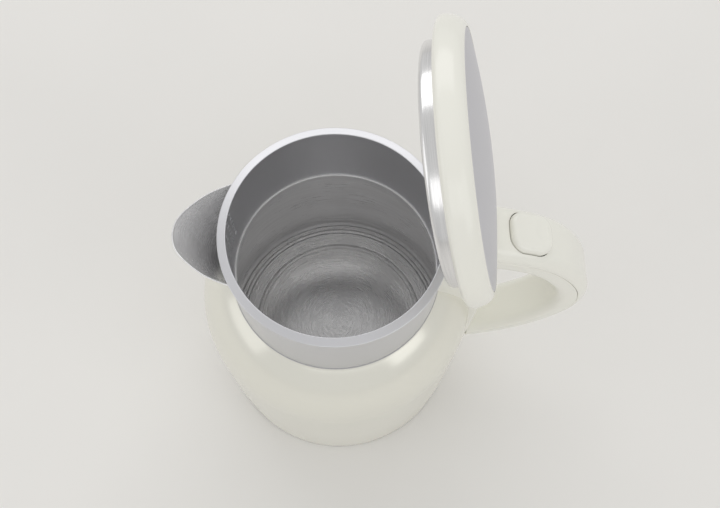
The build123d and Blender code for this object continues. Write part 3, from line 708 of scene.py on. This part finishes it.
class KETTLE_OT_body(bpy.types.Operator):
    """Build the painted body and the seal round the collar's foot"""
    bl_idname = "kettle.body"
    bl_label = "Painted body"

    def execute(self, context):
        size = sizes(context)
        neck = size.collar_radius + NECK_GAP
        outer = ellipse_shoulder(size, 0, neck)
        inner = ellipse_shoulder(size, -size.shell_wall, neck)
        wall = size.shell_wall
        foot = SHELL_FOOT
        outline = ([(size.base_radius - wall, foot + 0.1, 0), (size.base_radius - wall / 2, foot, 0),
                    (size.base_radius, foot + 0.2, 0), (size.base_radius + 0.03, foot + 1.0, 0)]
                   + [(size.base_radius + (size.belly_radius - size.base_radius) * sin(pi / 2 * k / 10),
                       foot + 1.5 + (size.belly_height - foot - 1.5) * k / 10, 0) for k in range(1, 10)]
                   + [(size.belly_radius, size.belly_height, 0), (size.belly_radius, 80, 0),
                      (size.belly_radius, 100, 0)] + plain(outer)
                   + [(neck - 0.1, outer[-1][1] + 0.15, 0)] + plain(inner[::-1])
                   + [(size.belly_radius - wall, 100, 0), (size.belly_radius - wall, size.belly_height, 0)])
        settle(turned("painted_body", softened(outline)), "root", "cream_enamel", "outer_shell")
        top = outer[-1][1]
        seal = [(size.collar_radius, top - 3, 0), (neck - 0.02, top - 3, 0), (neck - 0.02, top + 0.5, 0.2),
                (size.collar_radius, top + 0.5, 0)]
        settle(turned("collar_seal", softened(seal)), "root", "grey_silicone", "neck_seal")
        return {"FINISHED"}


class KETTLE_OT_collar(bpy.types.Operator):
    """Build the steel collar with its rolled rim and the strainer holes behind the spout"""
    bl_idname = "kettle.collar"
    bl_label = "Collar and strainer"

    def execute(self, context):
        size = sizes(context)
        inside = size.collar_radius - COLLAR_WALL
        rim, low = size.rim_height, size.rim_height - LIP_DROP
        outline = [(inside, size.collar_bottom, 0.3), (size.collar_radius, size.collar_bottom, 0.3),
                   (size.collar_radius, low, 0.5), (size.lip_radius - 0.1, low + 0.9, 0.4),
                   (size.lip_radius, rim - 0.25, 0.45), (size.mouth_radius, rim + LIP_RISE, 0.45),
                   (size.mouth_radius, rim - 0.9, 0.5), (inside, low - 0.4, 0.8)]
        collar = turned("collar_tube", softened(outline), segments=192)
        grown(collar, strainer_pattern(), Rows=6, Columns=7,
              Collar_Radius=(size.collar_radius - COLLAR_WALL / 2) * MM, Top_Row_Height=(rim - 12) * MM, Finish=bpy.data.materials["brushed_steel"])
        settle(collar, "root", "brushed_steel", "collar", sharp=30)
        return {"FINISHED"}


class KETTLE_OT_pot(bpy.types.Operator):
    """Build the steel pot and its stepped floor with the brushed disc"""
    bl_idname = "kettle.pot"
    bl_label = "Pot"

    def execute(self, context):
        size = sizes(context)
        wall = size.pot_wall
        neck = size.collar_radius - COLLAR_WALL - wall
        low = size.floor_height - FLOOR_WALL
        foot = size.pot_radius - POT_FOOT

        def shoulder(grow, top):
            reach = size.pot_radius - size.shoulder_centre + grow
            end = pi / 2 - asin((top - size.shoulder_centre) / reach)
            return [(size.shoulder_centre + reach * cos(end * k / 36),
                     size.shoulder_height + (POT_RISE + grow) * sin(end * k / 36), 0) for k in range(37)]

        inner, outer = shoulder(0, neck), shoulder(wall, neck + wall)
        lip = size.collar_bottom + 3.0
        outline = ([(foot, low, 0), (size.pot_radius, low + 14, 12)] + inner
                   + [(neck, inner[-1][1] + 2, 0), (neck, lip - 0.9, 0.2), (neck - 0.35, lip - 0.45, 0.2),
                      (neck, lip, 0.3), (neck + wall, lip, 0.2), (neck + wall, outer[-1][1] + 1, 0)]
                   + outer[::-1] + [(size.pot_radius + wall, low + 14, 12), (foot + wall, low, 0.3)])
        pot = turned("pot_wall", softened(outline))
        settle(pot, "root", "pot_steel", "inner_pot")
        r, z = size.disc_radius, size.floor_height
        outline = [(0, z, 0), (r * 0.5, z, 0), (r * 0.8, z, 0), (r, z, 0.5), (r + 0.7, z - 0.9, 0.3),
                   (r + 2.3, z - 0.9, 0.3), (r + 3.2, z + 1.0, 0.8), (r + 11, z + 1.4, 0.5),
                   (r + 12, z + 2.4, 0.6), (r + 13.6, z + 2.4, 0.6), (r + 14.4, z + 1.5, 0.5),
                   (foot, z + 1.6, 0), (foot, z - 1.0, 0), (r + 2.4, z - 1.0, 0), (r + 2.2, z - 1.9, 0),
                   (r + 0.6, z - 1.9, 0), (r - 0.2, z - 1.0, 0), (0, z - 1.0, 0)]
        floor = turned("pot_base", softened(outline, closed=False), closed=False)
        settle(floor, "root", "disc_steel", "pot_floor")
        return {"FINISHED"}


class KETTLE_OT_spout(bpy.types.Operator):
    """Build the steel pouring trough"""
    bl_idname = "kettle.spout"
    bl_label = "Spout"

    def execute(self, context):
        size = sizes(context)
        wall, top = SPOUT_WALL, size.rim_height - SPOUT_DROP
        half_shape = [(0, 1), (0.39, 0.82), (0.73, 0.55), (0.93, 0.3), (1, 0)]
        shape = curve_through(half_shape + [(a, -b) for a, b in half_shape[-2::-1]], 81)
        weld = size.collar_radius

        def place(along, across, share, inset):
            half = size.spout_half_width * (1 - share) ** 0.75 + 4.0 * share - inset
            root = sqrt((weld + 1) ** 2 - half ** 2)
            reach = (size.spout_reach - root) * (1 - share) ** 1.2 + 3.0 * share - inset
            y = half * across
            x = -root - reach * along
            if along < 0.001:
                x = -sqrt(weld ** 2 - y * y)
            return Vector((x, y, top - size.spout_depth * share))

        loops = []
        for along, across in shape:
            outside = [place(along, across, (k / 28) ** 1.3, 0) for k in range(29)]
            inside = [place(along, across, 0.9 * (k / 24) ** 1.2, wall) for k in range(24, -1, -1)]
            middle = (outside[0] + inside[-1]) / 2
            out = (outside[0] - inside[-1]) / 2
            bead = [middle - out * cos(pi * k / 6) + Vector((0, 0, 0.45 * sin(pi * k / 6)))
                    for k in range(1, 6)]
            loops.append(outside + inside + bead)
        settle(skin("pouring_trough", loops), "root", "spout_steel", "spout", sharp=50)
        return {"FINISHED"}


# The handle's crown from the hinge housing round to the mount's foot: distance from the axis,
# height above the rim, thickness behind it and depth of the shell's parting line.
HANDLE_COURSE = [(80, 3.1, 22, 8.5), (104, -7, 21.5, 8.5), (121, -19.5, 21, 8), (136, -40, 20, 7),
                 (145, -62, 19, 6), (147.3, -82, 18.5, 5.5), (143, -102, 17, 5),
                 (131.5, -124, 16, 4.5), (113, -144.5, 15.5, 4.5), (96, -156, 15, 4.5),
                 (79, -162.5, 14.5, 4.5)]
HANDLE_ROUND = 6.5
LAP = 4.4    # how far the handle's shells reach over the mount
HANDLE_WALL = 2.4
SHELL_GAP = 0.25    # between the outer shell and the grip


def shell_section(depth, half, wall, steps=30, edge=0.45):
    """Half of a handle shell's section, (across, down), from the middle of its crown and back."""
    arc = HANDLE_ROUND * min(pi / 2, acos(1 - min(depth, HANDLE_ROUND) / HANDLE_ROUND))
    straight = max(depth - HANDLE_ROUND, 0)
    total = arc + straight

    def flank(s):
        angle = min(s, arc) / HANDLE_ROUND
        point = Vector((half - HANDLE_ROUND + HANDLE_ROUND * sin(angle),
                        HANDLE_ROUND - HANDLE_ROUND * cos(angle) + max(s - arc, 0)))
        return point, Vector((cos(angle), sin(angle))), Vector((-sin(angle), cos(angle)))

    outer = [Vector(((half - HANDLE_ROUND) * k / 4, 0)) for k in range(4)]
    inner = [Vector((p.x, wall)) for p in outer]
    for k in range(steps + 1):
        point, ahead, inward = flank((total - edge) * k / steps)
        outer.append(point)
        inner.append(point + inward * wall)
    point, ahead, inward = flank(total - edge)
    centre = point + inward * edge
    outer += [centre - inward * edge * cos(pi / 2 * k / 4) + ahead * edge * sin(pi / 2 * k / 4)
              for k in range(1, 5)]
    inner.append(point + inward * wall + ahead * edge)
    return outer + inner[::-1]


def along_course(course):
    """Each row of a handle course with the unit vector square to it, into the handle."""
    for i, row in enumerate(course):
        before, after = course[max(i - 1, 0)], course[min(i + 1, len(course) - 1)]
        run = Vector((after[0] - before[0], after[1] - before[1])).normalized()
        yield row, Vector((run.y, -run.x))


def handle_shell(name, size, from_crown):
    """The outer shell, or the grip shell whose depths are measured from its inner face."""
    course = curve_through([(x, size.rim_height + z, t, p) for x, z, t, p in HANDLE_COURSE], 200)
    loops = []
    for (x, z, thick, split), inward in along_course(course):
        depth = split if from_crown else thick - split - SHELL_GAP
        half = shell_section(depth, size.handle_width / 2, HANDLE_WALL)
        loop = [(a, d) for a, d in half] + [(-a, d) for a, d in half[-2:0:-1]]
        points = []
        for across, down in loop:
            if not from_crown:
                down = thick - down
            points.append(Vector((x + inward.x * down, across, z + inward.y * down)))
        loops.append(points)
    piece = skin(name, loops)
    work = bmesh.new()
    work.from_mesh(piece.data)
    cut = bmesh.ops.bisect_plane(work, geom=work.verts[:] + work.edges[:] + work.faces[:],
                                 plane_co=((size.mount_front - LAP) * MM, 0, 0), plane_no=(-1, 0, 0),
                                 clear_outer=True)
    edges = [e for e in cut["geom_cut"] if isinstance(e, bmesh.types.BMEdge)]
    bmesh.ops.edgenet_fill(work, edges=edges)
    bmesh.ops.triangulate(work, faces=[f for f in work.faces if len(f.verts) > 4])
    bmesh.ops.recalc_face_normals(work, faces=work.faces)
    work.to_mesh(piece.data)
    work.free()
    foot = prism("foot", [(60, -25), (size.mount_front, -25), (size.mount_front, 25), (60, 25)],
                 10, size.rim_height - 60, Matrix())
    return carved(piece, foot)


def button_seat(size):
    """The button's seat on the crown, its Z along the crown's outward normal, in millimetres."""
    (ax, az), (bx, bz) = HANDLE_COURSE[0][:2], HANDLE_COURSE[1][:2]
    slope = atan2(bz - az, bx - ax)
    z = size.rim_height + az + (BUTTON_X - ax) * (bz - az) / (bx - ax)
    return Matrix.Translation((BUTTON_X, 0, z)) @ Matrix.Rotation(-slope, 4, "Y")


def pad_outline(long, wide, corner, steps=16):
    """A rectangle with round corners, as points round it."""
    points = []
    for cx, cy, start in ((1, 1, 0), (-1, 1, 90), (-1, -1, 180), (1, -1, 270)):
        for k in range(steps + 1):
            angle = radians(start + 90 * k / steps)
            points.append((cx * (long / 2 - corner) + corner * cos(angle),
                           cy * (wide / 2 - corner) + corner * sin(angle)))
    return points


def prism(name, outline, low, high, move):
    """A straight-sided block on a flat outline."""
    return skin(name, [[move @ Vector((x, y, z)) for x, y in outline] for z in (low, high)])


class KETTLE_OT_handle(bpy.types.Operator):
    """Build the handle's outer shell with the button's well, and the grip shell with its screw holes"""
    bl_idname = "kettle.handle"
    bl_label = "Handle"

    def execute(self, context):
        size = sizes(context)
        seat = button_seat(size)
        outer = handle_shell("handle_back", size, True)
        outline = pad_outline(BUTTON_LONG + 2 * BUTTON_GAP, BUTTON_WIDE + 2 * BUTTON_GAP,
                              BUTTON_CORNER + BUTTON_GAP)
        well = prism("well", outline, -12, 12, seat)
        settle(carved(outer, well), "root", "cream_plastic", "handle_outer")
        grip = handle_shell("handle_front", size, False)
        cutters = []
        for height in GRIP_SCREWS:
            z = size.rim_height + height
            face = grip_face(size, z)
            cutters.append(round_bar("recess", 3.1, (face - 12, 0, z), (face + SCREW_SINK, 0, z), 0))
            cutters.append(round_bar("hole", 1.8, (face - 12, 0, z), (face + 8, 0, z), 0))
        settle(carved(grip, *cutters), "root", "cream_plastic", "handle_grip")
        return {"FINISHED"}


def grip_face(size, z):
    """Where the grip's inner face stands at a height."""
    course = [(x, size.rim_height + h, t) for x, h, t, p in HANDLE_COURSE]
    face = [(x + inward.x * t, h + inward.y * t) for (x, h, t), inward in along_course(course)]
    for (ax, az), (bx, bz) in zip(face, face[1:]):
        if az >= z >= bz:
            return ax + (bx - ax) * (z - az) / (bz - az)
    raise ValueError("the grip doesn't reach that height")


class KETTLE_OT_button(bpy.types.Operator):
    """Build the release button with its thumb hollow"""
    bl_idname = "kettle.button"
    bl_label = "Release button"

    def execute(self, context):
        size = sizes(context)
        seat = button_seat(size)
        long, wide, corner = BUTTON_LONG, BUTTON_WIDE, BUTTON_CORNER
        proud, skirt, soft, hollow = 3.4, 5.0, 2.6, 0.75

        def ring(inset, z, shrink=1.0):
            outline = pad_outline(long - 2 * inset, wide - 2 * inset, corner - inset)
            return [Vector((x * shrink, y * shrink, z)) for x, y in outline]

        loops = [ring(2.5, proud - 2.6, 0.02), ring(2.5, proud - 2.6, 0.9), ring(2.5, proud - 2.8),
                 ring(2.5, -skirt + 0.2), ring(2.3, -skirt), ring(0.2, -skirt), ring(0, -skirt + 0.2),
                 ring(0, -2), ring(0, proud - soft - 0.3)]
        loops += [ring(soft * (1 - cos(pi / 2 * k / 10)), proud - soft + soft * sin(pi / 2 * k / 10))
                  for k in range(11)]
        loops += [ring(soft, proud, 1 - k / 26) for k in range(1, 26)]
        for loop in loops[20:]:
            for p in loop:
                share = ((p.x - 6.3) / 5.6) ** 2 + ((p.y - 1.2) / 6.6) ** 2
                if share < 1:
                    p.z -= hollow * (1 - share) ** 1.5
        button = skin("lid_button", [[seat @ p for p in loop] for loop in loops])
        settle(button, "release", "cream_plastic", "release_button")
        return {"FINISHED"}


class KETTLE_OT_lid(bpy.types.Operator):
    """Build the lid: moulded ring with its knuckle, domed plate, steel plug and seal"""
    bl_idname = "kettle.lid"
    bl_label = "Lid"

    def execute(self, context):
        size = sizes(context)
        move = opened(size)
        rim = size.rim_height
        low, high, bore, plate = rim + LID_LOW, rim + LID_HIGH, LID_BORE, PLATE_RADIUS
        wide = size.lip_radius + LID_OVERHANG
        shoulder = [(plate + 0.2 + (wide - plate - 0.2) * cos(pi / 2 * k / 20) ** (2 / 1.85),
                     low + 2.6 + (high - low - 2.6) * sin(pi / 2 * k / 20) ** (2 / 1.85), 0)
                    for k in range(20)]
        outline = ([(bore, low, 0), (wide - 2.2, low, 1.2), (wide - 0.3, low + 1.3, 1.2)] + shoulder
                   + [(plate + 0.2, high, 0.25), (plate + 0.2, high - 1.9, 0), (bore, high - 1.9, 0)])
        ring = turned("lid_rim", softened(outline), frame_matrix=move)
        settle(ring, "lid", "cream_plastic", "lid_ring")
        knuckle = self.knuckle(size, move)
        settle(knuckle, "lid", "cream_plastic")

        edge, skirt, sheet = high - 0.2, 1.7, LID_SHEET
        crest = edge + PLATE_RISE
        radius = (plate ** 2 + PLATE_RISE ** 2) / (2 * PLATE_RISE)
        dome = [(plate * sin(pi / 2 * k / 30), crest - radius
                 + sqrt(radius ** 2 - (plate * sin(pi / 2 * k / 30)) ** 2), 0) for k in range(30)]
        under = [(x * (1 - sheet / plate), z - sheet, 0) for x, z, _ in dome[::-1]]
        outline = (dome + [(plate, edge, 0.6), (plate, edge - skirt, 0), (plate - sheet, edge - skirt, 0),
                           (plate - sheet, edge - sheet, 0)] + under)
        settle(turned("lid_dome", softened(outline, closed=False), closed=False, frame_matrix=move),
               "lid", "satin_steel", "lid_plate")

        top, floor, r = low + 3.0, low - PLUG_DEPTH, PLUG_RADIUS
        outline = [(0, floor, 0), (r * 0.4, floor, 0), (r * 0.72, floor, 0), (r * 0.76, floor, 0),
                   (r, floor, 2.0), (r, low - 1.2, 0), (r, top - sheet, 0.2), (bore - 0.05, top - sheet, 0),
                   (bore - 0.05, top, 0), (r - sheet, top, 0), (r - sheet, floor + sheet, 1.4),
                   (0, floor + sheet, 0)]
        plug = turned("lid_underside", softened(outline, closed=False), closed=False, frame_matrix=move)
        settle(plug, "lid", "plug_steel", "lid_plug")
        outline = [(r + 0.02, low - 0.6, 0.1), (r + 0.6, low - 0.5, 0.2), (r + 0.9, low - 0.04, 0.05),
                   (bore - 0.02, low - 0.02, 0), (bore - 0.02, low + 2.2, 0), (r + 0.02, low + 2.2, 0)]
        gasket = turned("lid_gasket", softened(outline), frame_matrix=move)
        settle(gasket, "lid", "grey_silicone", "lid_seal")
        return {"FINISHED"}

    def knuckle(self, size, move):
        """The hinge eye on the ring, bored for the pin, with its tab."""
        half, eye = EYE_HALF, EYE_RADIUS
        low = size.rim_height + 2.1
        high = size.rim_height + 9.3
        start = size.lip_radius - 2.0
        centre = Vector((size.hinge_x, size.hinge_z))
        outline = [Vector((start, low)), Vector((size.hinge_x - 3.6, low))]
        outline += [centre + Vector((eye * cos(a), eye * sin(a)))
                    for a in [radians(-128 + 8 * k) for k in range(29)]]
        outline += [Vector((size.hinge_x - 4.4, high)), Vector((start, high))]
        loops = []
        for y, inset in ((-half, 0.5), (-half + 0.15, 0.15), (-half + 0.5, 0), (half - 0.5, 0),
                         (half - 0.15, 0.15), (half, 0.5)):
            middle = Vector((68, size.hinge_z))
            loops.append([move @ Vector((*(p - (p - middle).normalized() * inset), 0)).xzy
                          + move.to_3x3() @ Vector((0, y, 0)) for p in outline])
        piece = skin("lid_knuckle", loops)
        pin = round_bar("bore", PIN_BORE, move @ Vector((size.hinge_x, -20, size.hinge_z)),
                        move @ Vector((size.hinge_x, 20, size.hinge_z)), 0)
        return carved(piece, pin)


class KETTLE_OT_screws(bpy.types.Operator):
    """Build the screws of the base, grip, mount, bracket and lid"""
    bl_idname = "kettle.screws"
    bl_label = "Screws"

    def execute(self, context):
        size = sizes(context)
        rim = size.rim_height
        move = opened(size)
        pattern = screw_pattern()
        base = [(BASE_SCREW_RING * cos(a), BASE_SCREW_RING * sin(a), 1.7) for a in (pi / 3, pi, 5 * pi / 3)]
        grip = [(grip_face(size, rim + h) - 0.1, 0, rim + h) for h in GRIP_SCREWS]
        mount = [(size.mount_front - 0.2, side * 8.5, rim - h) for h in MOUNT_SCREWS for side in (-1, 1)]
        bracket = [(size.collar_radius + 4.4, side * 7, rim - 36) for side in (-1, 1)]
        lid = [move @ Vector((LID_SCREW_RING * cos(a), LID_SCREW_RING * sin(a), rim + 7.9))
               for a in (pi / 4, 3 * pi / 4, 5 * pi / 4, 7 * pi / 4)]
        up = move.to_3x3() @ Vector((0, 0, 1))
        for name, points, out, long, body, node in (
                ("base_screws", base, (0, 0, -1), 11, "root", "cover_screws"),
                ("handle_screws", grip, (-1, 0, 0), 10, "root", "grip_screws"),
                ("foot_screws", mount, (1, 0, 0), 7, "root", "mount_screws"),
                ("collar_screws", bracket, (1, 0, 0), 3, "root", "bracket_screws"),
                ("lid_fixings", lid, tuple(up), 9, "lid", "lid_screws")):
            piece = mesh_piece(name, points, [])
            grown(piece, pattern, Shank_Length=long * MM, Direction=out,
                  Finish=bpy.data.materials["fastener_steel"])
            settle(piece, body, "fastener_steel", node)
        return {"FINISHED"}


class KETTLE_OT_underside(bpy.types.Operator):
    """Build the rubber foot ring with its grooves"""
    bl_idname = "kettle.underside"
    bl_label = "Foot ring"

    def execute(self, context):
        outline = [(66.05, 3, 0), (66.05, 0, 0.5)]
        for radius in (67.4, 68.8, 70.2):
            outline += [(radius - 0.35, 0, 0.1), (radius - 0.2, 0.5, 0.1), (radius + 0.2, 0.5, 0.1),
                        (radius + 0.35, 0, 0.1)]
        outline += [(71.95, 0, 0.5), (71.95, 3, 0)]
        settle(turned("foot_pad", softened(outline)), "root", "grey_silicone", "foot_ring")
        return {"FINISHED"}


class KETTLE_OT_fittings(bpy.types.Operator):
    """Give each remaining CAD node the finish of its material slot"""
    bl_idname = "kettle.fittings"
    bl_label = "Inner fittings"

    def execute(self, context):
        for part in frame["record"]["subparts"]:
            node = frame["nodes"][part["node"]]
            material = bpy.data.materials[part["material_slot"]]
            if not node.material_slots:
                node.data.materials.append(material)
            for slot in node.material_slots:
                slot.material = material
        return {"FINISHED"}


class KETTLE_OT_stage(bpy.types.Operator):
    """Set the worktop, the soft lights and the camera"""
    bl_idname = "kettle.stage"
    bl_label = "Stage"

    def execute(self, context):
        stage = context.scene.kettle_stage
        reach = 2500
        count = 4
        points = [(reach * (2 * i / count - 1), reach * (2 * j / count - 1), 0)
                  for j in range(count + 1) for i in range(count + 1)]
        faces = [[j * (count + 1) + i, j * (count + 1) + i + 1, (j + 1) * (count + 1) + i + 1,
                  (j + 1) * (count + 1) + i] for j in range(count) for i in range(count)]
        floor = mesh_piece("worktop", points, faces)
        floor.data.materials.append(bpy.data.materials["worktop"])
        self.panel("top_panel", (-0.05, 0.95, 1.15), (0, 0, 0.15), (1.6, 0.8), stage.top_power)
        self.panel("front_panel", (0.1, -0.95, 1.1), (0, 0, 0.15), (1.2, 0.6), stage.side_power)
        self.panel("left_panel", (-1.15, -0.35, 0.75), (0, 0, 0.15), (0.9, 1.1), stage.side_power)
        self.panel("right_panel", (0.95, -0.75, 0.85), (0, 0, 0.12), (0.7, 0.9), stage.side_power)
        world = bpy.data.worlds.new("room")
        world.use_nodes = True
        world.node_tree.nodes["Background"].inputs["Color"].default_value = (1, 1, 1, 1)
        world.node_tree.nodes["Background"].inputs["Strength"].default_value = stage.world_level
        context.scene.world = world
        context.scene.view_settings.view_transform = "Standard"

        azimuth, pitch, roll = stage.camera_azimuth, stage.camera_pitch, stage.camera_roll
        ahead = Vector((sin(azimuth) * cos(pitch), cos(azimuth) * cos(pitch), -sin(pitch)))
        level = Vector((cos(azimuth), -sin(azimuth), 0))
        right = level * cos(roll) + level.cross(ahead) * sin(roll)
        up = right.cross(ahead)
        data = bpy.data.cameras.new("camera")
        data.lens = stage.lens
        data.sensor_width = 36
        data.clip_start = 0.01
        camera = bpy.data.objects.new("camera", data)
        camera.matrix_world = (Matrix.Translation(stage.camera_place)
                               @ Matrix((right, up, -ahead)).transposed().to_4x4())
        context.scene.collection.objects.link(camera)
        context.scene.camera = camera
        return {"FINISHED"}

    def panel(self, name, place, target, size, power):
        """A large soft rectangular light."""
        data = bpy.data.lights.new(name, "AREA")
        data.shape = "RECTANGLE"
        data.size, data.size_y = size
        data.energy = power
        light = bpy.data.objects.new(name, data)
        light.location = place
        light.rotation_euler = (Vector(target) - Vector(place)).to_track_quat("-Z", "Y").to_euler()
        bpy.context.scene.collection.objects.link(light)


OPERATORS = (KETTLE_OT_finishes, KETTLE_OT_body, KETTLE_OT_collar, KETTLE_OT_pot, KETTLE_OT_spout,
             KETTLE_OT_handle, KETTLE_OT_button, KETTLE_OT_lid, KETTLE_OT_screws, KETTLE_OT_underside,
             KETTLE_OT_fittings, KETTLE_OT_stage)


class KETTLE_PT_sidebar(bpy.types.Panel):
    """Lists the kettle's sizes, colours and building steps"""
    bl_idname = "KETTLE_PT_sidebar"
    bl_label = "Electric kettle"
    bl_space_type = "VIEW_3D"
    bl_region_type = "UI"
    bl_category = "Kettle"

    def draw(self, context):
        layout = self.layout
        for group in (context.scene.kettle_sizes, context.scene.kettle_colours, context.scene.kettle_stage):
            box = layout.box()
            for name in type(group).__annotations__:
                box.prop(group, name)
        for operator in OPERATORS:
            layout.operator(operator.bl_idname)


CLASSES = (KettleSizes, KettleColours, KettleStage, *OPERATORS, KETTLE_PT_sidebar)


def register():
    for item in CLASSES:
        bpy.utils.register_class(item)
    bpy.types.Scene.kettle_sizes = PointerProperty(type=KettleSizes)
    bpy.types.Scene.kettle_colours = PointerProperty(type=KettleColours)
    bpy.types.Scene.kettle_stage = PointerProperty(type=KettleStage)


def unregister():
    del bpy.types.Scene.kettle_sizes, bpy.types.Scene.kettle_colours, bpy.types.Scene.kettle_stage
    for item in reversed(CLASSES):
        bpy.utils.unregister_class(item)


def main():
    register()
    for operator in OPERATORS:
        group, name = operator.bl_idname.split(".")
        getattr(getattr(bpy.ops, group), name)()


if __name__ == "__main__":
    main()
